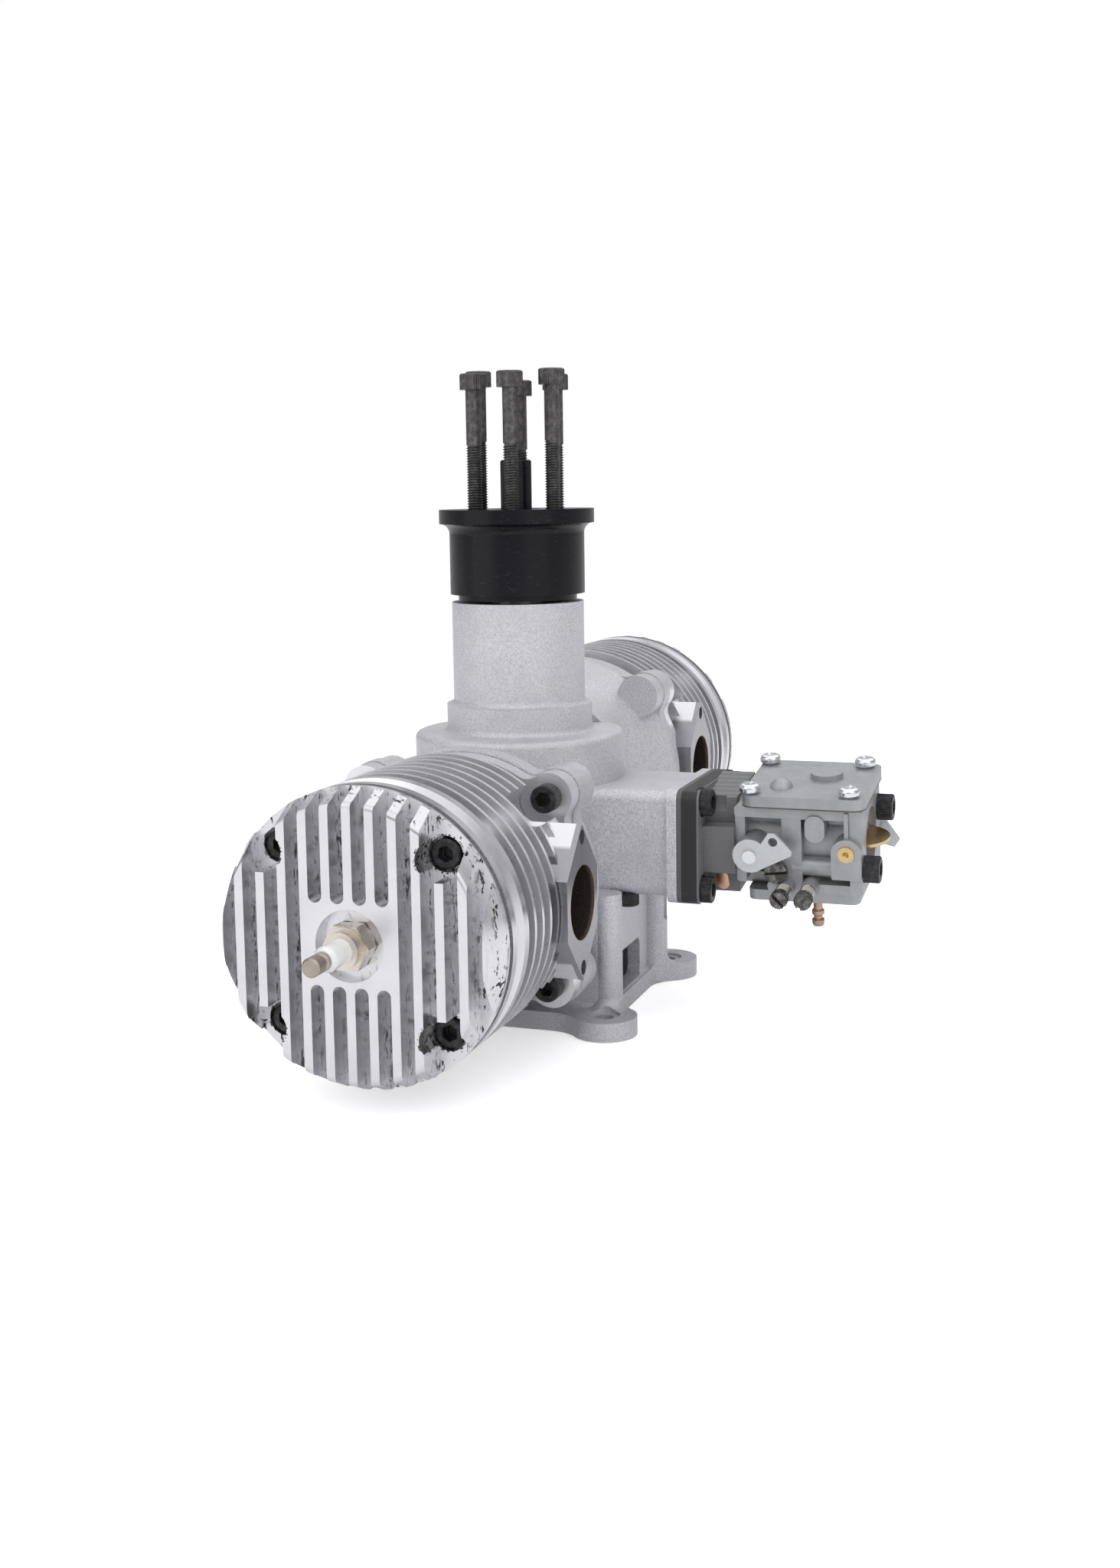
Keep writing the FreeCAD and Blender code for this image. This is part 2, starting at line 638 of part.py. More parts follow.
def rectangle(x, y):
    return [(x[0], y[0]), (x[1], y[0]), (x[1], y[1]), (x[0], y[1])]


SIDES = {"near": ("-y", "near_line", "-"), "far": ("y", "far_line", "")}


def on_side(thing, side):
    """Stand a body made along Z on its cylinder's axis, the exhaust towards +X."""
    axis, line, _ = SIDES[side]
    return place(thing, (0, 0, line), axis)


def rolled(thing):
    """Set a carburettor piece at the intake's axis, rolled as the carburettor is."""
    thing.Placement = Placement(Vector(), Rotation(Vector(1, 0, 0), amount_of("carb_roll")))
    bind(thing, "Placement.Base.z", "intake_line")
    bind(thing, "Placement.Rotation.Angle", "carb_roll")
    return thing


# Crankcase
def ear_outline(radius, ear, start, length, side):
    """A disc with four ears at the base screws, blended where they meet."""
    axis, line, sign = SIDES[side]
    disc = cylinder(radius, length, (0, f"{sign}({start})", line), axis)
    ears = [cylinder(ear, length, (f"{right} * base_screw_x", f"{sign}({start})", f"{line} + {up} * base_screw_z"), axis)
            for right, up in CORNERS]
    straight = upright_edge("y")
    reach = amount_of(f"hypot(base_screw_x; base_screw_z)")
    height = amount_of(line)

    def meets(edge):
        point = edge.Vertexes[0].Point
        return straight(edge) and (point.x ** 2 + (point.z - height) ** 2) ** 0.5 < reach

    return rounded(fuse(disc, *ears), "pad_blend", meets)


def cylinder_pad(side):
    axis, line, sign = SIDES[side]
    start = (0, f"{sign}pad_neck", line)
    flare = cone("pad_neck_radius", "pad_radius", "pad_face - pad_depth - pad_neck", start, axis)
    rim = ear_outline("pad_radius", "pad_lug_radius", "pad_face - pad_depth", "pad_depth", side)
    lugs = []
    for right, up in CORNERS:
        lug_at = (f"{right} * base_screw_x", f"{sign}(pad_face - pad_lug_depth)", f"{line} + {up} * base_screw_z")
        lugs.append(cylinder("pad_lug_radius - 0.5", "pad_lug_depth - 1", lug_at, axis))
    return [flare, rim, *lugs]


def cylinder_pad_holes(side):
    axis, line, sign = SIDES[side]
    depth = "pad_face - spigot_hole_start + 1"
    holes = [cylinder("spigot_hole", depth, (0, f"{sign}spigot_hole_start", line), axis)]
    for right, up in CORNERS:
        start = f"{sign}(pad_face - base_screw_bite - 1)"
        hole_at = (f"{right} * base_screw_x", start, f"{line} + {up} * base_screw_z")
        holes.append(cylinder("m6_radius + screw_gap", "base_screw_bite + 2", hole_at, axis))
    return holes


def nose():
    ring = cylinder("ring_radius", "ring_top - case_top + 1", (0, 0, "case_top - 1"))
    tube = cylinder("nose_radius", "nose_top - case_top", (0, 0, "case_top"))
    blends = []
    for radius, level in (("nose_radius", "ring_top"), ("ring_radius", "case_top")):
        collar = cylinder(f"{radius} + nose_blend", "nose_blend", (0, 0, level))
        blends.append(cut(collar, torus(f"{radius} + nose_blend", "nose_blend", (0, 0, f"{level} + nose_blend"))))
    return [ring, tube, *blends]


def mount_plate(height="plate_thick"):
    """The plate and its four lugs, with concave blends between them."""
    plate = box((f"-{PLATE_X}", PLATE_X), (f"-{PLATE_Y}", PLATE_Y), (0, height))
    lugs = [cylinder("lug_radius", height, (f"{right} * {LUG_X}", f"{up} * {LUG_Y}", 0)) for right, up in CORNERS]
    upright = upright_edge("z")
    limit = amount_of(f"{LUG_X} + lug_radius / 2")
    return rounded(fuse(plate, *lugs), "lug_blend", lambda edge: upright(edge) and edge.BoundBox.XMax < limit)


def straight_blend(x, y, hollow_x, hollow_y, axis):
    """A concave strip along the foot of a wall."""
    strip = box(x, y, ("plate_thick", "plate_thick + wall_blend"))
    half = "body_half_y" if axis == "y" else "body_half_x"
    height = "plate_thick + wall_blend - blend_sink"
    spot = (hollow_x, f"-2 * {half}", height) if axis == "y" else (f"-2 * {half}", hollow_y, height)
    return cut(strip, cylinder("wall_blend", f"4 * {half}", spot, axis))


def foot_blends(outline):
    """Concave blends at the feet of the walls and posts, kept within the plate's outline."""
    blends = []
    for sign in (1, -1):
        inner, outer = f"{sign} * body_half_x", f"{sign} * (body_half_x + wall_blend)"
        x = (inner, outer) if sign > 0 else (outer, inner)
        hollow = f"{sign} * (body_half_x + wall_blend - blend_sink)"
        blends.append(straight_blend(x, (f"-{POST_Y}", POST_Y), hollow, 0, "y"))
        inner, outer = f"{sign} * body_half_y", f"{sign} * (body_half_y + wall_blend)"
        y = (inner, outer) if sign > 0 else (outer, inner)
        hollow = f"{sign} * (body_half_y + wall_blend - blend_sink)"
        blends.append(straight_blend((f"-{POST_X}", POST_X), y, 0, hollow, "x"))
    for right, up in CORNERS:
        spot = (f"{right} * {POST_X}", f"{up} * {POST_Y}")
        collar = cylinder("post_radius + post_blend", "post_blend", (*spot, "plate_thick"))
        ring = torus("post_radius + post_blend - blend_sink", "post_blend",
                     (*spot, "plate_thick + post_blend - blend_sink"))
        blends.append(cut(collar, ring))
    return common(fuse(*blends), outline)


def rear_body():
    block = box(("-body_half_x", "body_half_x"), ("-body_half_y", "body_half_y"), (1, "body_top"))
    posts = [cylinder("post_radius", "body_top - 1", (f"{right} * {POST_X}", f"{up} * {POST_Y}", 1))
             for right, up in CORNERS]
    return [block, *posts, foot_blends(mount_plate("plate_thick + post_blend"))]


def rear_body_cuts():
    inner_x = ("-(body_half_x - body_wall)", "body_half_x - body_wall")
    inner_y = ("-(body_half_y - body_wall)", "body_half_y - body_wall")
    cavity = rounded_box(inner_x, inner_y, (-1, "case_bottom"), "post_radius")
    window_x = ("body_half_x - body_wall - 1", "body_half_x + post_radius + 1")
    window = rounded_box(window_x, ("-window_near", "window_far"), ("plate_thick + 0.5", "case_bottom - 0.5"),
                         "window_corner", "x")
    slot_x = (f"{POST_X} + post_radius - post_slot_depth", f"{POST_X} + post_radius + 1")
    slot_low = "body_top - post_slot_height - 2"
    slot_y = (f"{POST_Y} - post_slot_width / 2", f"{POST_Y} + post_slot_width / 2")
    slot = box(slot_x, slot_y, (slot_low, "body_top"))
    slot_end = cylinder("post_slot_width / 2", "post_slot_depth + 1", (slot_x[0], POST_Y, slot_low), "x")
    return [cavity, window, slot, slot_end]


def mount_holes():
    holes = []
    for right, up in CORNERS:
        spot = (f"{right} * {LUG_X}", f"{up} * {LUG_Y}")
        holes.append(cylinder("mount_hole", "plate_thick + 2", (*spot, -1)))
        holes.append(cylinder("spot_radius", "spot_depth + 5", (*spot, "plate_thick - spot_depth")))
    return holes


def intake_corners(face, height, radius):
    """Four cylinders along X at the intake flange's screws."""
    middle = "(intake_low + intake_high) / 2"
    spots = [(face, f"{right} * intake_screw_y", f"{middle} + {up} * intake_screw_z") for right, up in CORNERS]
    return [cylinder(radius, height, spot, "x") for spot in spots]


def duct():
    tube = rounded_box(("duct_start", "duct_end + 1"), ("-duct_half", "duct_half"),
                       ("duct_low", "duct_high"), "duct_edge", "x")
    flange = rounded_box(("duct_end", "intake_face"), ("-intake_half", "intake_half"),
                         ("intake_low", "intake_high"), "intake_corner", "x")
    return [tube, flange]


def case_screw_spots():
    """Where the crankcase screws stand: x, y and the height of the head's seat."""
    side = [("-case_screw_x", f"{sign} * case_screw_y", "case_boss_low") for sign in (1, -1)]
    under = [("body_half_x + duct_screw_out", f"{sign} * duct_screw_y", "duct_low") for sign in (1, -1)]
    return side + under


def crankcase():
    barrel = cylinder("case_radius", "case_top - case_bottom", (0, 0, "case_bottom"))
    top_edge = rounded(barrel, "case_edge", lambda edge: edge.BoundBox.ZMin > amount_of("case_top") - 0.1)
    bosses = [cylinder("case_boss_radius", "case_boss_high - case_boss_low", (x, y, z))
              for x, y, z in case_screw_spots()[:2]]
    outside = fuse(top_edge, *nose(), *cylinder_pad("near"), *cylinder_pad("far"), *duct(),
                   *rear_body(), mount_plate(), *bosses)
    chamber_low = "near_line - throw_gap / 2 - web_thick - web_side_gap"
    chamber_high = "far_line + throw_gap / 2 + web_thick + web_side_gap"
    chamber = cylinder("chamber_radius", f"({chamber_high}) - ({chamber_low})", (0, 0, chamber_low))
    rear_seat = cylinder("bearing_radius", "bearing_width + 1", (0, 0, f"{chamber_low} - bearing_width"))
    front_seat = cylinder("bearing_radius", "bearing_width + 1", (0, 0, f"{chamber_high} - 1"))
    bore = cylinder("nose_bore", "nose_top - case_top", (0, 0, "case_top"))
    nose_seat = cylinder("nose_bearing_radius", "nose_top - nose_bearing_low + 1", (0, 0, "nose_bearing_low"))
    passage = box(("duct_start - 5", "intake_face + 1"), ("-passage_half", "passage_half"),
                  ("passage_low", "passage_high"))
    intake_taps = intake_corners("intake_face - intake_screw_bite - 1", "intake_screw_bite + 2",
                                 "m6_radius + screw_gap")
    case_holes = [cylinder("m5_radius + screw_gap", f"split_height + case_screw_bite + 2 - ({z})",
                           (x, y, f"({z}) - 1")) for x, y, z in case_screw_spots()]
    whole = cut(outside, chamber, rear_seat, front_seat, bore, nose_seat, passage, *intake_taps, *case_holes,
                *cylinder_pad_holes("near"), *cylinder_pad_holes("far"), *rear_body_cuts(), *mount_holes())
    reach = ("-2 * deck", "2 * deck")
    keep("crankcase_front", common(whole, box(reach, reach, ("split_height", "2 * deck"))))
    keep("crankcase_rear", common(whole, box(reach, reach, (-1, "split_height"))))
    screws = [socket_screw("m5", f"split_height + case_screw_bite - ({z})", (x, y, z), "-z")
              for x, y, z in case_screw_spots()]
    keep("crankcase_screws", group(screws))


# Bearings and seal
def bearing(name, low, width, outside, race, crank_radius="shaft_radius"):
    """A roller bearing: the outer race with its rollers, and the inner race on the shaft."""
    outer = cut(cylinder(outside, width, (0, 0, low)), cylinder(f"{outside} - {race}", width, (0, 0, low)))
    inner_radius = f"{crank_radius} + {race}"
    inner = cut(cylinder(inner_radius, width, (0, 0, low)), cylinder(crank_radius, width, (0, 0, low)))
    pitch = f"({outside} - {race} + {inner_radius}) / 2"
    roller = f"({outside} - {race} - ({inner_radius})) / 2 - roller_gap"
    rollers = []
    for number in range(BEARING_ROLLERS):
        angle = number * 360 / BEARING_ROLLERS
        spot = (f"({pitch}) * cos({angle})", f"({pitch}) * sin({angle})", f"{low} + 1")
        rollers.append(cylinder(roller, f"{width} - 2", spot))
    keep(f"{name}_bearing_outer", group([outer, *rollers]))
    keep(f"{name}_bearing_inner", inner)


def bearings():
    bearing("rear", "near_line - throw_gap / 2 - web_thick - web_side_gap - bearing_width", "bearing_width",
            "bearing_radius", "race_thick")
    bearing("front", "far_line + throw_gap / 2 + web_thick + web_side_gap", "bearing_width",
            "bearing_radius", "race_thick")
    bearing("nose", "nose_bearing_low", "nose_bearing_width", "nose_bearing_radius", "nose_race")
    lathe(body("oil_seal"), [
        ("shaft_radius + roller_gap", "seal_low"),
        ("nose_bearing_radius", "seal_low"),
        ("nose_bearing_radius", "seal_high"),
        ("shaft_radius + 3", "seal_high"),
        ("shaft_radius + 3", "seal_low + 2"),
        ("shaft_radius + roller_gap", "seal_low + 2"),
    ])


# Crank train
def crankshaft():
    front_low = "far_line + throw_gap / 2"
    lathe(body("crank_front_shaft"), [
        (0, front_low),
        ("web_radius", front_low),
        ("web_radius", f"{front_low} + web_thick"),
        ("shaft_shoulder", f"{front_low} + web_thick"),
        ("shaft_shoulder", f"{front_low} + web_thick + web_side_gap"),
        ("shaft_radius", f"{front_low} + web_thick + web_side_gap"),
        ("shaft_radius", "taper_start"),
        ("taper_tip", "taper_end"),
        ("stud_radius", "taper_end"),
        ("stud_radius", STUD_TOP),
        (0, STUD_TOP),
    ])
    rear_high = "near_line - throw_gap / 2"
    rear_low = f"{rear_high} - web_thick - web_side_gap - bearing_width + 0.5"
    lathe(body("crank_rear_shaft"), [
        (0, rear_low),
        ("shaft_radius", rear_low),
        ("shaft_radius", f"{rear_high} - web_thick - web_side_gap"),
        ("shaft_shoulder", f"{rear_high} - web_thick - web_side_gap"),
        ("shaft_shoulder", f"{rear_high} - web_thick"),
        ("web_radius", f"{rear_high} - web_thick"),
        ("web_radius", rear_high),
        (0, rear_high),
    ])
    lathe(body("crank_middle_web"), step("web_radius", "near_line + throw_gap / 2", "far_line - throw_gap / 2"))


def connecting_rod(side):
    """The rod lies in the body's X-Z plane, its thickness along Y."""
    rod = body(f"connecting_rod_{side}")
    small = "crank_throw + rod_length"
    pad(rod, "XZ", "-rod_web / 2", [[
        ("-rod_root", "crank_throw"), ("rod_root", "crank_throw"), ("rod_neck", small), ("-rod_neck", small),
    ]], "rod_web")
    pad(rod, "XZ", "-rod_thick / 2", [(0, "crank_throw", "rod_big"), (0, small, "rod_small")], "rod_thick")
    recess = [
        ("-rod_root + 3.2", "crank_throw + rod_big + 3"), ("rod_root - 3.2", "crank_throw + rod_big + 3"),
        ("rod_neck - 2.4", f"{small} - rod_small - 3"), ("-rod_neck + 2.4", f"{small} - rod_small - 3"),
    ]
    pocket(rod, "XZ", "rod_web / 2", [recess], "rod_recess")
    pocket(rod, "XZ", "-rod_web / 2", [recess], "rod_recess", back=True)
    holes = [(0, "crank_throw", "crankpin_radius"), (0, small, "pin_radius")]
    pocket(rod, "XZ", "rod_thick", holes, "2 * rod_thick")
    on_side(rod, side)

    line = SIDES[side][1]
    sign = SIDES[side][2]
    pin_length = "throw_gap - 2 * crankpin_gap"
    pin_at = (0, f"{sign}crank_throw", f"{line} - ({pin_length}) / 2")
    keep(f"crankpin_{side}", cylinder("crankpin_radius", pin_length, pin_at))
    wrist_at = (0, f"{sign}({small})", f"{line} - pin_half")
    wrist = cut(cylinder("pin_radius", "2 * pin_half", wrist_at), cylinder("pin_bore", "2 * pin_half", wrist_at))
    keep(f"wrist_pin_{side}", wrist)


def piston(side):
    crown = "crank_throw + rod_length + piston_crown"
    radius = "bore_radius - piston_gap"
    groove = f"{radius} - ring_depth"
    outline = [(0, f"{crown} - piston_height"), (radius, f"{crown} - piston_height")]
    for number in (1, 0):
        top = f"{crown} - ring_first - {number} * ring_step"
        low = f"{top} - ring_thick - 0.1"
        outline += [(radius, low), (groove, low), (groove, top), (radius, top)]
    outline += [(radius, crown), (0, crown)]
    blank = lathe(body(f"piston_{side}"), outline)
    skirt_low = f"{crown} - piston_height"
    hollow = "piston_height - crown_thick"
    pocket(blank, "XY", skirt_low, [(0, 0, f"{radius} - skirt_wall")], hollow, back=True)
    for back in (False, True):
        shift = "-pin_boss_gap" if back else "pin_boss_gap"
        pad(blank, "XZ", shift, [(0, "crank_throw + rod_length", "pin_boss")],
            f"{radius} - skirt_wall - pin_boss_gap + 0.5", back=back)
    pocket(blank, "XZ", "2 * bore_radius", [(0, "crank_throw + rod_length", "pin_radius")], "4 * bore_radius")
    on_side(blank, side)

    rings = []
    for number in (0, 1):
        low = f"{crown} - ring_first - {number} * ring_step - ring_thick"
        whole = cylinder("bore_radius - screw_gap", "ring_thick", (0, 0, low))
        rings.append(cut(whole, cylinder(f"{groove} + screw_gap", "ring_thick", (0, 0, low))))
    keep(f"piston_rings_{side}", on_side(group(rings), side))


# Cylinders
def blend_ears(barrel, flange, seat):
    """Round the hollow edges where the base flange's ears leave its disc."""
    DOC.recompute()
    low = amount_of(seat)
    reach = amount_of("hypot(base_screw_x; base_screw_z)")
    straight = upright_edge("z")
    names = []
    for number, edge in enumerate(flange.Shape.Edges, start=1):
        point = edge.Vertexes[0].Point
        length_fits = abs(edge.Length - amount_of("base_thick")) < 0.01 and edge.BoundBox.ZMin > low - 0.01
        if straight(edge) and length_fits and abs(point.y) > 1 and (point.x ** 2 + point.y ** 2) ** 0.5 < reach:
            names.append(f"Edge{number}")
    blend = barrel.newObject("PartDesign::Fillet", "ear_blend")
    blend.Base = (flange, names)
    bind(blend, "Radius", "pad_blend")


def cylinder_barrel(side):
    barrel = body(f"cylinder_{side}")
    seat = "pad_face + base_gasket"
    outline = [(0, "spigot_bottom"), ("spigot_radius", "spigot_bottom"), ("spigot_radius", seat),
               ("barrel_radius", seat)]
    for number in range(CYLINDER_FINS):
        middle = f"fin_first + {number} * fin_pitch"
        low = f"{middle} - fin_thick / 2"
        high = f"{middle} + fin_thick / 2"
        outline += [("barrel_radius", low), ("fin_radius", low), ("fin_radius", high), ("barrel_radius", high)]
    outline += [("barrel_radius", "deck"), (0, "deck")]
    lathe(barrel, outline)
    lugs = [(f"{right} * base_screw_x", f"{up} * base_screw_z", "base_lug_radius") for right, up in CORNERS]
    pad(barrel, "XY", seat, [(0, 0, "base_radius")], "base_thick")
    flange = pad(barrel, "XY", seat, lugs, "base_thick")
    blend_ears(barrel, flange, seat)
    bosses = [(f"{right} * head_screw", f"{up} * head_screw", "head_boss") for right, up in CORNERS]
    pad(barrel, "XY", "head_boss_start", bosses, "deck - head_boss_start")
    relief = [(f"{right} * base_screw_x", f"{up} * base_screw_z", "relief_radius") for right, up in CORNERS]
    pocket(barrel, "XY", f"{seat} + base_thick", relief, f"relief_top - ({seat} + base_thick)", back=True)
    face = [
        ("port_reach", "port_line"), ("port_flat", "port_line + port_half"), ("-port_flat", "port_line + port_half"),
        ("-port_reach", "port_line"), ("-port_flat", "port_line - port_half"), ("port_flat", "port_line - port_half"),
    ]
    pad(barrel, "YZ", "port_face", [face], "port_face - port_root", back=True)
    pocket(barrel, "XY", "spigot_bottom - 1", [(0, 0, "bore_radius")], "deck - spigot_bottom + 2", back=True)
    pocket(barrel, "YZ", "port_face", [(0, "port_line", "port_radius")], "port_face")
    taps = [("port_screw", "port_line", "port_screw_radius"), ("-port_screw", "port_line", "port_screw_radius")]
    pocket(barrel, "YZ", "port_face", taps, "port_screw_depth")
    base_holes = [(x, y, "m6_radius + screw_gap") for x, y, _ in lugs]
    pocket(barrel, "XY", f"{seat} - 1", base_holes, "base_thick + 2", back=True)
    head_taps = [(x, y, "m6_radius + screw_gap") for x, y, _ in bosses]
    pocket(barrel, "XY", "deck", head_taps, "head_screw_length + deck - head_screw_seat + 1")
    on_side(barrel, side)


def cylinder_head(side):
    """A turned head, its upright ribs left standing between milled slots."""
    head = body(f"cylinder_head_{side}")
    bottom = "deck + head_gasket"
    lathe(head, [
        (0, bottom),
        ("fin_radius", bottom),
        ("fin_radius", f"{bottom} + head_rim"),
        ("head_neck", f"{bottom} + head_rim + 1.5"),
        ("head_neck", "head_ring_low - 1.5"),
        ("fin_radius", "head_ring_low"),
        ("fin_radius", "head_ring_high"),
        ("head_groove", "head_ring_high"),
        ("head_groove", "head_land"),
        ("fin_radius", "head_land"),
        ("fin_radius", "face_level + rim_rise"),
        ("rib_radius + rib_round", "rib_top - rib_round"),
        ("rib_radius + rib_round * 0.92", "rib_top - rib_round * 0.62"),
        ("rib_radius + rib_round * 0.71", "rib_top - rib_round * 0.29"),
        ("rib_radius + rib_round * 0.38", "rib_top - rib_round * 0.08"),
        ("rib_radius", "rib_top"),
        (0, "rib_top"),
    ])
    far_off = "fin_radius + 1"
    slots = []
    for number in range(-HEAD_RIBS, HEAD_RIBS):
        left = f"{number} * rib_pitch + rib_width / 2"
        right = f"{number + 1} * rib_pitch - rib_width / 2"
        if -2 <= number <= 1:
            slots.append(rectangle((left, right), ("boss_half_high", far_off)))
            slots.append(rectangle((left, right), (f"-({far_off})", "-boss_half_high")))
        else:
            slots.append(rectangle((left, right), (f"-({far_off})", far_off)))
    pocket(head, "XY", "rib_top", slots, "rib_top - face_level")
    slot_half = "(rib_pitch - rib_width) / 2"
    for end in (1, -1):
        rounds = [(f"{number + 0.5} * rib_pitch", f"{end} * (boss_half_high)", slot_half) for number in range(-2, 2)]
        pocket(head, "XY", "rib_top", rounds, "rib_top - face_level")
    for number in (-4, 4):
        left = f"{number} * rib_pitch - rib_width / 2 - 0.1"
        right = f"{number} * rib_pitch + rib_width / 2 + 0.1"
        ends = [rectangle((left, right), ("short_rib", far_off)),
                rectangle((left, right), (f"-({far_off})", "-short_rib"))]
        pocket(head, "XY", "rib_top", ends, "rib_top - face_level")
    spots = [(f"{right} * head_screw", f"{up} * head_screw") for right, up in CORNERS]
    pocket(head, "XY", "rib_top", [(*spot, "m6_head + 0.9") for spot in spots], "rib_top - head_screw_seat")
    pocket(head, "XY", "rib_top", [(*spot, "m6_radius + screw_gap") for spot in spots], f"rib_top - ({bottom}) + 1")
    pocket(head, "XY", "rib_top", [(0, 0, "plug_recess")], "rib_top - plug_seat")
    pocket(head, "XY", "rib_top", [(0, 0, "plug_thread")], f"rib_top - ({bottom}) + 1")
    dome = sketch(head, "XZ", 0, [[
        (0, f"{bottom} - 1"), ("dome_mouth", f"{bottom} - 1"), ("dome_mouth", bottom),
        ("dome_mouth * 0.8", f"{bottom} + dome_depth * 0.55"), ("dome_mouth * 0.45", f"{bottom} + dome_depth * 0.9"),
        (0, f"{bottom} + dome_depth"),
    ]])
    hollow = head.newObject("PartDesign::Groove", "dome")
    hollow.Profile = dome
    hollow.ReferenceAxis = (dome, ["V_Axis"])
    hollow.Angle = 360
    on_side(head, side)


def gaskets_and_screws():
    base_gaskets = []
    head_gaskets = []
    base_screws = []
    head_screws = []
    for side, (axis, line, sign) in SIDES.items():
        lower = (0, f"{sign}pad_face", line)
        ring = cylinder("base_radius", "base_gasket", lower, axis)
        holes = [cylinder("spigot_radius + screw_gap", "base_gasket", lower, axis)]
        for right, up in CORNERS:
            x = f"{right} * base_screw_x"
            z = f"{line} + {up} * base_screw_z"
            holes.append(cylinder("m6_head", "base_gasket", (x, f"{sign}pad_face", z), axis))
            seat = f"{sign}(pad_face + base_gasket + base_thick)"
            length = "base_thick + base_gasket + base_screw_bite"
            base_screws.append(socket_screw("m6", length, (x, seat, z), axis))
            head_at = (f"{right} * head_screw", f"{sign}head_screw_seat", f"{line} + {up} * head_screw")
            head_screws.append(socket_screw("m6", "head_screw_length", head_at, axis))
        base_gaskets.append(cut(ring, *holes))
        upper = (0, f"{sign}deck", line)
        washer = cylinder("barrel_radius", "head_gasket", upper, axis)
        head_gaskets.append(cut(washer, cylinder("bore_radius + 0.5", "head_gasket", upper, axis)))
    keep("base_gaskets", group(base_gaskets))
    keep("head_gaskets", group(head_gaskets))
    keep("base_screws", group(base_screws))
    keep("head_screws", group(head_screws))


def plug_shell(side):
    bottom = "deck + head_gasket + dome_depth - 1"
    collar = "plug_seat + plug_hex_height"
    shell = lathe(body(), [
        ("plug_nose", bottom),
        ("plug_thread - screw_gap", bottom),
        ("plug_thread - screw_gap", "plug_seat"),
        ("plug_hex / 2", "plug_seat"),
        ("plug_hex / 2", collar),
        ("plug_collar", collar),
        ("plug_collar", f"{collar} + plug_collar_height"),
        ("plug_nose", f"{collar} + plug_collar_height"),
    ])
    radius = "plug_hex / 2 / cos(30)"
    corners = [(f"{radius} * cos({60 * number})", f"{radius} * sin({60 * number})") for number in range(6)]
    pad(shell, "XY", "plug_seat + 0.8", [corners, (0, 0, "plug_nose")], "plug_hex_height - 1.6")
    return on_side(shell, side)


def plug_insulator(side):
    tip = "deck + head_gasket + dome_depth - 3"
    return on_side(lathe(body(), [
        (0, tip),
        ("plug_nose - 2", tip),
        ("plug_nose", f"{tip} + 7"),
        ("plug_nose", "plug_porcelain_top - 2"),
        ("plug_nose - 0.7", "plug_porcelain_top"),
        (0, "plug_porcelain_top"),
    ]), side)


def plug_terminal(side):
    return on_side(lathe(body(), [
        (0, "plug_porcelain_top"),
        ("plug_terminal", "plug_porcelain_top"),
        ("plug_terminal", "plug_porcelain_top + 1"),
        ("plug_waist", "plug_porcelain_top + 1.6"),
        ("plug_waist", "plug_porcelain_top + 2.6"),
        ("plug_terminal", "plug_porcelain_top + 3.4"),
        ("plug_terminal", "plug_tip - 0.6"),
        ("plug_terminal - 0.6", "plug_tip"),
        (0, "plug_tip"),
    ]), side)


def spark_plugs():
    for label, piece in (("plug_shells", plug_shell), ("plug_insulators", plug_insulator),
                         ("plug_terminals", plug_terminal)):
        keep(label, group([piece(side) for side in SIDES]))


# Propeller hub
def bolt_spots():
    for number in range(PROP_BOLTS):
        angle = f"(bolt_turn + {number * 360 / PROP_BOLTS})"
        yield f"bolt_circle * cos{angle}", f"bolt_circle * sin{angle}"


def propeller_bolt(x, y, out):
    """A long bolt: its shank stands free above the flange, and its thinner end is screwed into the hub."""
    seat = f"bolt_seat + ({out})"
    free = socket_screw("m6", f"{seat} - flange_top", (x, y, seat), "z")
    end_at = (x, y, f"flange_top - bolt_bite + ({out})")
    end = cylinder("m6_radius - bolt_relief", f"bolt_bite - ({out})", end_at)
    return fuse(free, end)


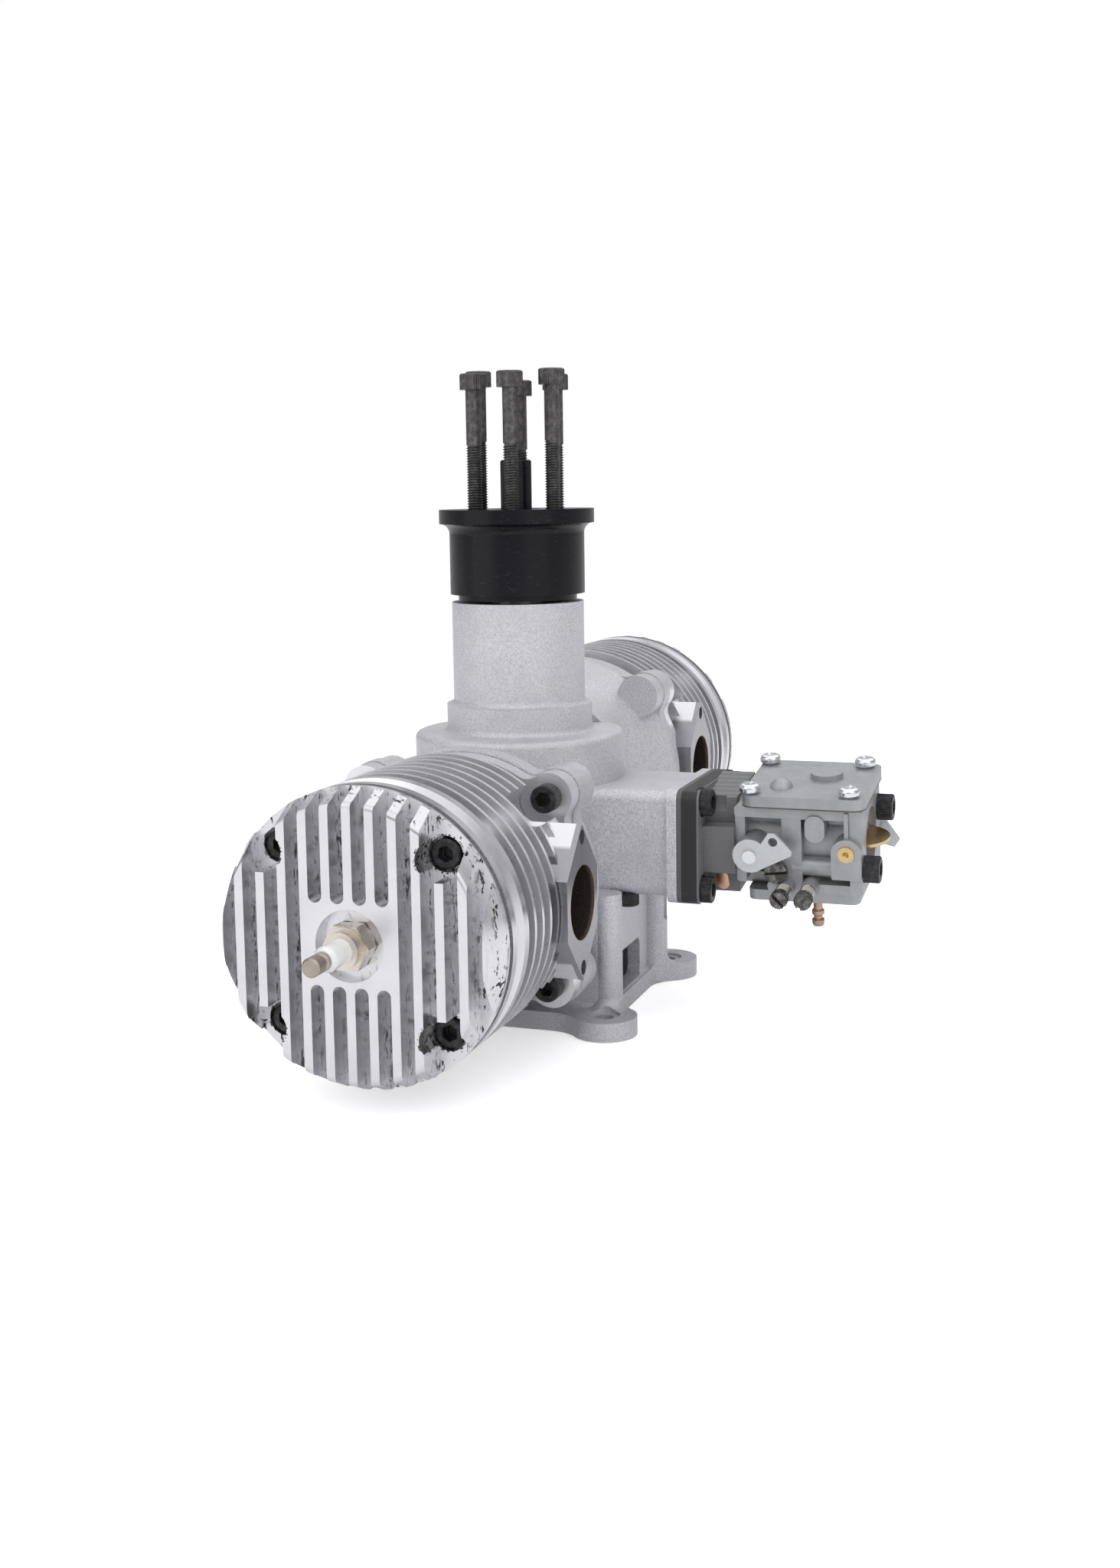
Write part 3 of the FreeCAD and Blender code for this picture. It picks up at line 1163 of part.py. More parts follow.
def propeller_hub():
    hub = lathe(body("propeller_hub"), [
        ("shaft_radius", "hub_spigot_low"),
        ("hub_spigot", "hub_spigot_low"),
        ("hub_spigot", "hub_bottom"),
        ("hub_radius", "hub_bottom"),
        ("hub_radius", "flange_bottom"),
        ("flange_radius", "flange_bottom"),
        ("flange_radius", "flange_top"),
        ("hub_pocket", "flange_top"),
        ("hub_pocket", "hub_pocket_low"),
        ("stud_radius + 0.5", "hub_pocket_low"),
        ("stud_radius + 0.5", "taper_end"),
        ("taper_tip", "taper_end"),
        ("shaft_radius", "taper_start"),
    ])
    holes = [(x, y, "m6_radius - bolt_relief + screw_gap") for x, y in bolt_spots()]
    pocket(hub, "XY", "flange_top", holes, "bolt_bite + bolt_room")
    mouths = [(x, y, "m6_radius + screw_gap") for x, y in bolt_spots()]
    pocket(hub, "XY", "flange_top", mouths, "bolt_mouth")
    DOC.recompute()
    corner = hub.newObject("PartDesign::Fillet", "blend")
    before = hub.Tip if hub.Tip != corner else corner.BaseFeature
    level = amount_of("flange_bottom")
    radius = amount_of("hub_radius")
    names = [f"Edge{number}" for number, edge in enumerate(before.Shape.Edges, start=1)
             if edge.Curve.TypeId == "Part::GeomCircle" and abs(edge.Curve.Radius - radius) < 0.01
             and abs(edge.Curve.Center.z - level) < 0.01]
    corner.Base = (before, names)
    bind(corner, "Radius", "hub_blend - 0.1")
    lathe(body("centring_sleeve"), [
        ("stud_radius", "hub_pocket_low"),
        ("sleeve_nut", "hub_pocket_low"),
        ("sleeve_nut", "hub_pocket_low + sleeve_nut_height"),
        ("sleeve_radius", "hub_pocket_low + sleeve_nut_height"),
        ("sleeve_radius", f"{SLEEVE_TOP} - 0.6"),
        ("sleeve_radius - 0.6", SLEEVE_TOP),
        ("stud_radius", SLEEVE_TOP),
    ])
    bolts = [propeller_bolt(x, y, f"bolt_out_{number}") for number, (x, y) in enumerate(bolt_spots(), start=1)]
    keep("propeller_bolts", group(bolts))


# Intake
def intake():
    y = ("-intake_half", "intake_half")
    z = ("intake_low", "intake_high")
    middle = "(intake_low + intake_high) / 2"
    plate = rounded_box(("intake_face", "intake_face + reed_plate"), y, z, "intake_corner", "x")
    mouth = ("intake_face - reed_length", "intake_face + 0.5")
    cage = wedge(mouth, ("-reed_half", "reed_half"), (f"{middle} - reed_half_height", f"{middle} + reed_half_height"),
                 (f"{middle} - reed_tip", f"{middle} + reed_tip"))
    hollow_x = ("intake_face - reed_length + 4", "intake_face + reed_plate + 1")
    hollow = wedge(hollow_x, ("-(reed_half - reed_wall)", "reed_half - reed_wall"),
                   (f"{middle} - reed_half_height + reed_wall", f"{middle} + reed_half_height - reed_wall"),
                   (f"{middle} - 0.6", f"{middle} + 0.6"))
    holes = intake_corners("intake_face - 1", "reed_plate + 2", "m6_radius + screw_gap")
    keep("reed_cage", cut(fuse(plate, cage), hollow, *holes))
    slope = "atan((reed_half_height - reed_tip) / reed_length)"
    petals = []
    for up in (1, -1):
        for number in (-1, 1):
            petal = DOC.addObject("Part::Box", "petal")
            bind(petal, "Length", "reed_length - 4")
            bind(petal, "Width", "reed_half - 1")
            bind(petal, "Height", "petal_thick")
            petal.Placement = Placement(Vector(), Rotation(Vector(0, -1, 0), up))
            bind(petal, "Placement.Rotation.Angle", f"{up} * {slope}")
            bind(petal, "Placement.Base.x", "intake_face - reed_length + 1")
            low_edge = "0.3" if number > 0 else "-(reed_half - 0.7)"
            bind(petal, "Placement.Base.y", low_edge)
            rise = f"reed_tip + tan({slope}) + 0.02" if up > 0 else f"-(reed_tip + tan({slope})) - petal_thick - 0.04"
            bind(petal, "Placement.Base.z", f"{middle} + {rise}")
            petals.append(petal)
    keep("reed_petals", group(petals))
    start = "intake_face + reed_plate"
    face = f"{start} + insulator_thick"
    slab = rounded_box((start, face), y, z, "intake_corner", "x")
    core = box((f"{face} - 1", "block_end"), ("-block_half", "block_half"), ("-block_half_height", "block_half_height"))
    ears = box((f"{face} - 1", "block_end"), ("-block_ear", "block_ear"), ("-block_ear_half", "block_ear_half"))
    block = rolled(fuse(core, ears))
    bore = cylinder("carb_bore", "block_end", ("intake_face", 0, "intake_line"), "x")
    sinks = intake_corners(f"{face} - insulator_sink", "m6_height + 4", "m6_head + 0.6")
    screw_holes = intake_corners("intake_face", "insulator_thick + 9", "m6_radius + screw_gap")
    threads = [cylinder("m6_radius + screw_gap", "mount_screw_bite + 2",
                        ("block_end - mount_screw_bite - 1", f"{turn} * mount_screw_v", f"{turn} * mount_screw_w"), "x")
               for turn in (1, -1)]
    tapped = rolled(fuse(*threads))
    keep("insulator_block", cut(fuse(slab, block), bore, *sinks, *screw_holes, tapped))
    length = "insulator_thick - insulator_sink + reed_plate + intake_screw_bite"
    spots = [(f"{face} - insulator_sink", f"{right} * intake_screw_y", f"{middle} + {up} * intake_screw_z")
             for right, up in CORNERS]
    keep("intake_screws", group([socket_screw("m6", length, spot, "x") for spot in spots]))


# Carburettor
def cover_screw_spots():
    for x in ("cover_screw_low", "cover_screw_high"):
        for sign in (1, -1):
            yield x, f"{sign} * cover_screw_v"


def near_boss(radius, length, x, w):
    """A round boss that stands out of the carburettor's near face."""
    return cylinder(radius, f"carb_half - carb_floor + {length}", (x, "-carb_floor", w), "-y")


def near_block(x, w, out="carb_half", radius="1.2"):
    """A raised block of the near face, its long corners rounded."""
    return rounded_box(x, (f"-({out})", "-(carb_floor - 1)"), w, radius, "y")


def carburettor_casting():
    core = rounded_box(("block_end", "carb_end"), ("-carb_floor", "carb_half"), ("carb_low", "carb_high"), "1.5", "x")
    barrel = cylinder("barrel_wall + carb_bore", "carb_end - block_end", ("block_end", 0, 0), "x")
    top_rail = near_block(("block_end", "carb_end"), ("carb_high - rail_high", "carb_high"))
    bottom_rail = near_block(("idle_x - 4", "carb_end"), ("carb_low", "carb_low + rail_low"), "carb_half - 0.8")
    rear_flange = near_block(("block_end", "block_end + rear_flange"), ("carb_low + 3", "carb_high"), "carb_half - 1")
    front_flange = near_block(("carb_end - front_flange", "carb_end"), ("carb_low", "carb_high"), "carb_half")
    rib = near_block(("rib_start", "rib_start + rib_across"), ("carb_low", "carb_high"), "carb_half - 0.5", "1.6")
    plug_foot = near_block(("plug_x - plug_boss", "carb_end"), ("plug_w - 10", "plug_w"),
                           "carb_half + plug_boss_length", "0.8")
    plug_web = near_block(("plug_x - 0.8", "plug_x + 0.8"), ("plug_w", "carb_high - 1"),
                          "carb_half + plug_boss_length - 1.5", "0.3")
    tower = near_block(("tower_x - tower_radius", "tower_x + tower_radius"), ("tower_w - 5", "tower_w + 5"),
                       "carb_half + tower_length - 2", "tower_radius - 0.3")
    bosses = [near_boss("throttle_boss", "throttle_out - carb_half", "throttle_x", 0),
              near_boss("plug_boss", "plug_boss_length", "plug_x", "plug_w"),
              near_boss("idle_head + 0.6", "idle_boss_length", "idle_x", "idle_w")]
    bosses += [near_boss("needle_boss", "needle_boss_length", f"needle_x + {number} * needle_step", "needle_w")
               for number in (0, 1)]
    choke_stub = cylinder("choke_boss", "choke_out - carb_half + 1", ("choke_x", "carb_half - 1", 0), "y")
    throttle_end = cylinder("throttle_boss", "3", ("throttle_x", "carb_half - 1", 0), "y")
    casting = fuse(core, barrel, top_rail, bottom_rail, rear_flange, front_flange, rib, plug_foot, plug_web, tower,
                   choke_stub, throttle_end, *bosses)
    underside = box(("block_end - 1", "carb_end + 1"), ("-2 * carb_half", "0"), ("carb_low - 6", "carb_low"))
    return cut(casting, underside)


def carburettor_body():
    half_bore = "(carb_end - block_end) / 2"
    middle = f"block_end + {half_bore}"
    straight_in = cylinder("carb_bore", f"{half_bore} - 6", ("block_end - 1", 0, 0), "x")
    narrowing = cone("carb_bore", "venturi_radius", "5", (f"{middle} - 7", 0, 0), "x")
    throat = cylinder("venturi_radius", "5", (f"{middle} - 2.5", 0, 0), "x")
    widening = cone("venturi_radius", "carb_bore", "5", (f"{middle} + 2", 0, 0), "x")
    straight_out = cylinder("carb_bore", f"{half_bore}", (f"{middle} + 7", 0, 0), "x")
    shaft_run = "4 * carb_half"
    throttle_hole = cylinder("throttle_radius + roller_gap", shaft_run, ("throttle_x", "-2 * carb_half", 0), "y")
    choke_hole = cylinder("choke_radius + roller_gap", "choke_out + 20", ("choke_x", "-15", 0), "y")
    cover_taps = [cylinder("m4_radius + screw_gap", "cover_screw_bite + 2", (x, y, "carb_high - cover_screw_bite - 0.4"))
                  for x, y in cover_screw_spots()]
    long_holes = [cylinder("m6_radius + screw_gap", "carb_end - block_end + 2",
                           ("block_end - 1", f"{turn} * mount_screw_v", f"{turn} * mount_screw_w"), "x")
                  for turn in (1, -1)]
    needle_holes = [cylinder("needle_shank + roller_gap", "needle_boss_length + 12",
                             (f"needle_x + {number} * needle_step", "-(carb_half - 7.5)", "needle_w"), "-y")
                    for number in (0, 1)]
    idle_hole = cylinder("needle_shank + roller_gap", "idle_bite + idle_boss_length + 1.2",
                         ("idle_x", "-(carb_half - idle_bite - 0.2)", "idle_w"), "-y")
    plug_hole = cylinder("plug_radius", "4", ("plug_x", "-carb_half", "plug_w"), "-y")
    shape = cut(carburettor_casting(), straight_in, narrowing, throat, widening, straight_out, throttle_hole,
                choke_hole, *cover_taps, *long_holes, *needle_holes, idle_hole, plug_hole)
    keep("carburettor_body", rolled(shape))


def carburettor_covers():
    x = ("cover_start", "cover_end")
    v = ("-cover_half", "cover_half")
    screw_holes = [cylinder("m4_radius + screw_gap", "40", (sx, sy, 0)) for sx, sy in cover_screw_spots()]
    sheet = rounded_box(x, v, ("carb_high", "carb_high + cover_gasket"), "cover_corner")
    keep("cover_gasket", rolled(cut(sheet, *screw_holes)))
    low = "carb_high + cover_gasket"
    top = f"{low} + cover_thick"
    plate = rounded_box(x, v, (low, top), "cover_corner")
    boss = cylinder("cover_boss", "cover_boss_height + 1", ("cover_boss_x", "cover_boss_v", f"{top} - 1"))
    bump = common(ball("cover_bump", ("cover_bump_x", "cover_bump_v", f"{top} - 1")),
                  box((90, 140), (-30, 30), (f"{top} - 1", f"{top} + 10")))
    cover_holes = [cylinder("m4_radius + screw_gap", "40", (sx, sy, 0)) for sx, sy in cover_screw_spots()]
    keep("diaphragm_cover", rolled(cut(fuse(plate, boss, bump), *cover_holes)))
    screws = []
    for sx, sy in cover_screw_spots():
        washer = cylinder("m4_head - 0.4", "washer_thick", (sx, sy, top))
        head = cylinder("m4_head", "m4_height", (sx, sy, f"{top} + washer_thick"))
        shank = cylinder("m4_radius", f"{top} + washer_thick - (carb_high - cover_screw_bite)",
                         (sx, sy, "carb_high - cover_screw_bite"))
        high = f"{top} + washer_thick + m4_height"
        slot_a = box((f"{sx} - 2.2", f"{sx} + 2.2"), (f"{sy} - 0.5", f"{sy} + 0.5"), (f"{high} - 1.4", f"{high} + 1"))
        slot_b = box((f"{sx} - 0.5", f"{sx} + 0.5"), (f"{sy} - 2.2", f"{sy} + 2.2"), (f"{high} - 1.4", f"{high} + 1"))
        screws.append(cut(fuse(washer, head, shank), slot_a, slot_b))
    keep("cover_screws", rolled(group(screws)))
    pump = rounded_box(("cover_start + 1", "cover_end - 3"), ("-pump_half", "pump_half"),
                       ("carb_low - pump_thick", "carb_low"), "3")
    fuel_hole = cylinder("nipple_radius - 0.5", "pump_thick + 2", ("nipple_x", "nipple_v", "carb_low - pump_thick - 1"))
    keep("pump_cover", rolled(cut(pump, fuel_hole)))


def carburettor_fittings():
    long_screws = [socket_screw("m6", "carb_end - block_end + mount_screw_bite",
                                ("carb_end", f"{turn} * mount_screw_v", f"{turn} * mount_screw_w"), "x")
                   for turn in (1, -1)]
    keep("carburettor_screws", rolled(group(long_screws)))
    low = "carb_low - pump_thick"
    nipple = lathe(body("fuel_nipple"), [
        ("nipple_bore", f"{low} - nipple_length"),
        ("nipple_radius - 0.4", f"{low} - nipple_length"),
        ("nipple_radius", f"{low} - nipple_length + 1"),
        ("nipple_radius", f"{low} - nipple_length + 2.4"),
        ("nipple_radius - 0.7", f"{low} - nipple_length + 3"),
        ("nipple_radius - 0.7", f"{low} - nipple_length + 4"),
        ("nipple_radius", f"{low} - nipple_length + 4.6"),
        ("nipple_radius", f"{low} - nipple_length + 6"),
        ("nipple_radius - 0.6", f"{low} - nipple_length + 6.6"),
        ("nipple_radius - 0.6", f"{low} + 2"),
        ("nipple_bore", f"{low} + 2"),
    ])
    nipple.Placement = Placement(Vector(), Rotation(Vector(1, 0, 0), amount_of("carb_roll")))
    bind(nipple, "Placement.Rotation.Angle", "carb_roll")
    bind(nipple, "Placement.Base.x", "nipple_x")
    bind(nipple, "Placement.Base.y", "nipple_v * cos(carb_roll)")
    bind(nipple, "Placement.Base.z", "intake_line + nipple_v * sin(carb_roll)")
    plug = cylinder("plug_radius - 0.02", "plug_boss_length + 0.6", ("plug_x", "-carb_half", "plug_w"), "-y")
    dimple = cone("0.2", "1.2", "1.2", ("plug_x", "-(carb_half + plug_boss_length - 0.6)", "plug_w"), "-y")
    keep("brass_plug", rolled(cut(plug, dimple)))


def throttle():
    out = "throttle_out + lever_gap + lever_sheet + 1.5"
    shaft = cylinder("throttle_radius", f"{out} + carb_half - 3", ("throttle_x", "carb_half - 3", 0), "-y")
    slit = box(("throttle_x - plate_sheet / 2", "throttle_x + plate_sheet / 2"), ("-carb_bore", "carb_bore"),
               ("-throttle_radius - 1", "throttle_radius + 1"))
    keep("throttle_shaft", rolled(cut(shaft, slit)))
    disc = cylinder("carb_bore - plate_gap", "plate_sheet", ("throttle_x - plate_sheet / 2", 0, 0), "x")
    keep("throttle_plate", rolled(group([disc])))
    lever = body("throttle_lever")
    start = "throttle_out + lever_gap"
    pad(lever, "XZ", start, [[
        ("throttle_x + 2.6", "1"), ("throttle_x + 3.4", "lever_hole_w - 2.2"),
        ("throttle_x + lever_hole_x - 1.6", "lever_hole_w + 3.4"),
        ("throttle_x + lever_hole_x + 0.6", "lever_hole_w + 3.4"),
        ("throttle_x + lever_tip_x", "lever_tip_w + 1.2"), ("throttle_x + lever_tip_x - 0.3", "lever_tip_w - 0.6"),
        ("throttle_x + 2.2", "-lever_eye + 0.5"),
    ]], "lever_sheet")
    pad(lever, "XZ", start, [("throttle_x", 0, "lever_eye")], "lever_sheet")
    holes = [("throttle_x + lever_hole_x", "lever_hole_w", "lever_hole"), ("throttle_x", 0, "throttle_radius")]
    pocket(lever, "XZ", f"{start} + lever_sheet + 1", holes, "lever_sheet + 2")
    rolled(lever)


def choke():
    out = "choke_out + lever_gap + lever_sheet + 1"
    shaft = cylinder("choke_radius", f"{out} + 14.5", ("choke_x", "-14.5", 0), "y")
    slit = box(("choke_x - choke_radius - 1", "choke_x + choke_radius + 1"), ("-carb_bore", "carb_bore"),
               ("-plate_sheet / 2", "plate_sheet / 2"))
    keep("choke_shaft", rolled(cut(shaft, slit)))
    disc = cylinder("carb_bore - plate_gap", "plate_sheet", ("choke_x", 0, "-plate_sheet / 2"))
    keep("choke_plate", rolled(group([disc])))
    lever = body("choke_lever")
    start = "-(choke_out + lever_gap)"
    pad(lever, "XZ", start, [[
        ("choke_x - 3", "2.5"), ("choke_x + 4", "2"), ("choke_x + choke_tip_x + 2", "choke_tip_w + 3"),
        ("choke_x + choke_tip_x", "choke_tip_w"), ("choke_x + choke_tip_x - 4", "choke_tip_w + 1"),
    ]], "lever_sheet", back=True)
    pad(lever, "XZ", start, [("choke_x", 0, "choke_eye")], "lever_sheet", back=True)
    pocket(lever, "XZ", f"{start} + 1", [("choke_x", 0, "choke_radius")], "lever_sheet + 2")
    rolled(lever)


def slotted_screw(x, w, inner, start, spring, head_radius, head_length):
    """A slotted adjusting screw that stands out of the near face."""
    face = f"{start} + {spring}"
    shank = cylinder("needle_shank", f"{face} - ({inner})", (x, f"-({inner})", w), "-y")
    head = cylinder(head_radius, head_length, (x, f"-({face})", w), "-y")
    end = f"-({face} + {head_length})"
    slot = box((f"{x} - 0.5", f"{x} + 0.5"), (f"{end} - 1", f"{end} + 1.6"), (f"{w} - 6", f"{w} + 6"))
    return cut(fuse(shank, head), slot)


def adjusting_screws():
    start = "carb_half + needle_boss_length"
    for number, name in enumerate(("low_speed_needle", "high_speed_needle")):
        x = f"needle_x + {number} * needle_step"
        keep(name, rolled(slotted_screw(x, "needle_w", "carb_half - 7", start, "needle_spring",
                                        "needle_head", "needle_head_length")))
    keep("idle_speed_screw", rolled(slotted_screw("idle_x", "idle_w", "carb_half - idle_bite",
                                                  "carb_half + idle_boss_length", "idle_spring",
                                                  "idle_head", "idle_head_length")))
    coils = []
    for number in (0, 1):
        for turn in range(4):
            spot = (f"needle_x + {number} * needle_step",
                    f"-({start} + 0.3 + {turn} * (needle_spring - 1.5) / 3)", "needle_w")
            coils.append(cut(cylinder("spring_radius", "spring_wire", spot, "-y"),
                             cylinder("spring_radius - spring_wire", "spring_wire", spot, "-y")))
    keep("needle_springs", rolled(group(coils)))


crankcase()
bearings()
crankshaft()
for side_name in SIDES:
    connecting_rod(side_name)
    piston(side_name)
    cylinder_barrel(side_name)
    cylinder_head(side_name)
spark_plugs()
gaskets_and_screws()
propeller_hub()
intake()
carburettor_body()
carburettor_covers()
carburettor_fittings()
throttle()
choke()
adjusting_screws()

DOC.recompute()
failed = [thing.Label for thing in DOC.Objects if "Invalid" in thing.State or "Error" in thing.State]
if failed:
    raise RuntimeError(f"features failed: {failed}")
os.makedirs("parts", exist_ok=True)
for label, part in PARTS.items():
    shape = part.Shape
    if shape.isNull() or not shape.isValid() or not shape.Solids:
        raise RuntimeError(f"{label} has no sound solid")
for label, part in PARTS.items():
    part.Shape.exportStep(f"parts/{label}.step")
print(len(PARTS), "sub-parts")
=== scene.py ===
import math

import bpy
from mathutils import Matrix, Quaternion, Vector


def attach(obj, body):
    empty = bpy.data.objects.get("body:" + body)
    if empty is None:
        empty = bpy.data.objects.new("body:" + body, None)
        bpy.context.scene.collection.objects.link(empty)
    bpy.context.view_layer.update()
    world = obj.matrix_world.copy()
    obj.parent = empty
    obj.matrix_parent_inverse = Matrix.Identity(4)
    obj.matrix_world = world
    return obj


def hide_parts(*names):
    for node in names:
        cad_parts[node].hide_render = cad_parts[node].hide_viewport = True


# Flat twin aircraft engine: finishes, screws, springs, studio and camera.
# Blender's unit is the metre, and the sizes of the engine's pieces below are millimetres.

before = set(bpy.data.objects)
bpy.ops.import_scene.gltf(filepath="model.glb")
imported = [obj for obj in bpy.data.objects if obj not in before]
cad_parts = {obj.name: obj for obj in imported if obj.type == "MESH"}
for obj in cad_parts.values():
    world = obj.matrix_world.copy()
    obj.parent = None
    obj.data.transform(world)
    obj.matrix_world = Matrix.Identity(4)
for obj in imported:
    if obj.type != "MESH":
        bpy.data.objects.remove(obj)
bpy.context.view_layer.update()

MM = 0.001
Z_UP = Vector((0, 0, 1))
CORNERS = [(1, 1), (1, -1), (-1, 1), (-1, -1)]

# Heights of the near and far cylinders' axes
NEAR_LINE, FAR_LINE = 58.15, 80.9

# Screws of a cylinder: how far out from the crankshaft they seat, and how far from the cylinder's axis
BASE_SCREW_SEAT, BASE_SCREW_ACROSS, BASE_SCREW_UP = 68.0, 35.5, 34.0
HEAD_SCREW_SEAT, HEAD_SCREW_SPREAD = 140.7, 28.9

# Exhaust port, its distance out from the crankshaft, and the block round it
PORT_OUT, PORT_RADIUS = 80.9, 13.3
PORT_BLOCK_RADIUS, PORT_BLOCK_START, PORT_BLOCK_FACE = 21.5, 40.0, 50.0

# Steps of a cylinder head, out from the crankshaft: screw seats, rim groove, and the slots between the ribs
SEAT_START, GROOVE_START, GROOVE_END = 139.0, 142.6, 145.8
SLOT_FLOOR, SLOT_MIDDLE, RIB_TOPS = 146.0, 150.5, 155.0

# Where the insulator's plate ends and its milled block begins
PLATE_END = 78.7

# Propeller bolts: circle, direction of the first one, seat of an average head and each head's own lift
BOLT_CIRCLE, FIRST_BOLT, BOLT_SEAT = 17.3, -75.6, 237.3
BOLT_LIFTS = (0.3, 1.4, 0.2, -1.5, 1.7, -0.1)

# Socket screws: head radius, head height, socket across its flats, shank radius
M6 = (5.0, 6.0, 5.0, 3.0)
M5 = (4.25, 5.0, 4.0, 2.5)

# The carburettor is rolled about the axis of its bore: v points to its far side and w to its cover
INTAKE_LINE, CARB_ROLL = 70.0, math.radians(9.0)
CARB_V = Vector((0, math.cos(CARB_ROLL), math.sin(CARB_ROLL)))
CARB_W = Vector((0, -math.sin(CARB_ROLL), math.cos(CARB_ROLL)))


def carb(x, v, w):
    """A point of the rolled carburettor in the engine's frame."""
    return Vector((x, 0, INTAKE_LINE)) + v * CARB_V + w * CARB_W


def new_node(tree, kind, settings=None, **inputs):
    """A shader node; inputs go by name, or by number after an underscore, and are sockets or plain values."""
    node = tree.nodes.new(kind)
    for name, value in (settings or {}).items():
        setattr(node, name, value)
    for name, value in inputs.items():
        socket = node.inputs[int(name[1:])] if name.startswith("_") else node.inputs[name]
        if isinstance(value, bpy.types.NodeSocket):
            tree.links.new(value, socket)
        else:
            socket.default_value = value
    return node


def soft_step(tree, value, low, high, bottom=0.0, top=1.0):
    """The bottom amount where the value is low, the top one where it is high, softly between."""
    return new_node(tree, "ShaderNodeMapRange", {"interpolation_type": "SMOOTHSTEP"}, Value=value,
                    **{"From Min": low, "From Max": high, "To Min": bottom, "To Max": top}).outputs[0]


# Finishes
class Finish:
    """A material whose nodes read the place on the engine, in millimetres."""

    # A wave texture of scale 1 has one wave in this length
    WAVE = math.tau / 20

    # Sockets of a colour mix node
    FACTOR, FIRST, SECOND, MIXED = 0, 6, 7, 2

    def __init__(self, name, metallic, roughness, centre=(0, 0, 0)):
        self.material = bpy.data.materials.new(name)
        self.material.use_nodes = True
        self.tree = self.material.node_tree
        self.shader = self.tree.nodes["Principled BSDF"]
        self.shader.inputs["Metallic"].default_value = metallic
        self.shader.inputs["Roughness"].default_value = roughness
        where = self.add("ShaderNodeTexCoord")
        mapping = self.add("ShaderNodeMapping", Vector=where.outputs["Object"],
                           Location=[-amount for amount in centre], Scale=(1000, 1000, 1000))
        self.place = mapping.outputs["Vector"]
        self.normal = None

    def add(self, kind, settings=None, **inputs):
        return new_node(self.tree, kind, settings, **inputs)

    def vector(self, operation, first, *second):
        inputs = {"_" + str(number): value for number, value in enumerate((first, *second))}
        return self.add("ShaderNodeVectorMath", {"operation": operation}, **inputs)

    def stretched(self, along):
        """The place, with each axis drawn in by its own factor, or as it is where none is given."""
        return self.vector("MULTIPLY", self.place, along).outputs[0] if along else self.place

    def noise(self, scale, detail=3.0, rough=0.55, along=None):
        """Cloudy variation; the scale is in waves per millimetre."""
        return self.add("ShaderNodeTexNoise", Vector=self.stretched(along), Scale=scale, Detail=detail,
                        Roughness=rough).outputs[0]

    def cells(self, scale):
        """Distance from scattered points; the scale is in points per millimetre."""
        return self.add("ShaderNodeTexVoronoi", Vector=self.place, Scale=scale).outputs["Distance"]

    def tool_marks(self, kind, axis, pitch, wobble):
        return self.add("ShaderNodeTexWave", {"wave_type": kind, kind.lower() + "_direction": axis},
                        Vector=self.place, Scale=self.WAVE / pitch, Distortion=wobble, Detail=1.0,
                        **{"Detail Scale": 0.3}).outputs[1]

    def rings(self, axis, pitch, wobble=0.6):
        """Turning marks round an axis through the finish's centre."""
        return self.tool_marks("RINGS", axis, pitch, wobble)

    def bands(self, axis, pitch, wobble):
        """Straight tool marks across an axis."""
        return self.tool_marks("BANDS", axis, pitch, wobble)

    def times(self, first, second):
        return self.add("ShaderNodeMath", {"operation": "MULTIPLY"}, _0=first, _1=second).outputs[0]

    def plus(self, first, second):
        return self.add("ShaderNodeMath", {"operation": "ADD"}, _0=first, _1=second).outputs[0]

    def larger(self, first, second):
        return self.add("ShaderNodeMath", {"operation": "MAXIMUM"}, _0=first, _1=second).outputs[0]

    def fade(self, value, low, high):
        """0 at the low amount, 1 at the high one, softly between."""
        return soft_step(self.tree, value, low, high)

    def level(self, axis):
        """How far a point lies along an axis."""
        return self.add("ShaderNodeSeparateXYZ", _0=self.place).outputs["XYZ".index(axis)]

    def distance(self, centre, along):
        """How far a point lies from a line through a centre; the line runs where along has its 0."""
        away = self.vector("SUBTRACT", self.place, centre).outputs[0]
        flat = self.vector("MULTIPLY", away, along).outputs[0]
        return self.vector("LENGTH", flat).outputs["Value"]

    def mix(self, factor, first, second):
        """A blend of two colours, each a socket or a tuple of red, green and blue."""
        node = self.add("ShaderNodeMix", {"data_type": "RGBA"})
        for number, value in ((self.FACTOR, factor), (self.FIRST, first), (self.SECOND, second)):
            if isinstance(value, tuple):
                node.inputs[number].default_value = (*value, 1.0)
            else:
                self.tree.links.new(value, node.inputs[number])
        return node.outputs[self.MIXED]

    def colour(self, socket):
        self.tree.links.new(socket, self.shader.inputs["Base Color"])

    def spread(self, surface, value, low, high):
        """Let a value move one of the shader's own inputs between two amounts."""
        node = self.add("ShaderNodeMapRange", Value=value, **{"To Min": low, "To Max": high})
        self.tree.links.new(node.outputs[0], self.shader.inputs[surface])

    def rough(self, value, low, high):
        self.spread("Roughness", value, low, high)

    def metal(self, value, low, high):
        self.spread("Metallic", value, low, high)

    def relief(self, value, height, strength=1.0):
        """Raises the surface where the value is high."""
        node = self.add("ShaderNodeBump", Height=value, Distance=height * MM, Strength=strength)
        if self.normal:
            self.tree.links.new(self.normal, node.inputs["Normal"])
        self.normal = node.outputs[0]
        self.tree.links.new(self.normal, self.shader.inputs["Normal"])


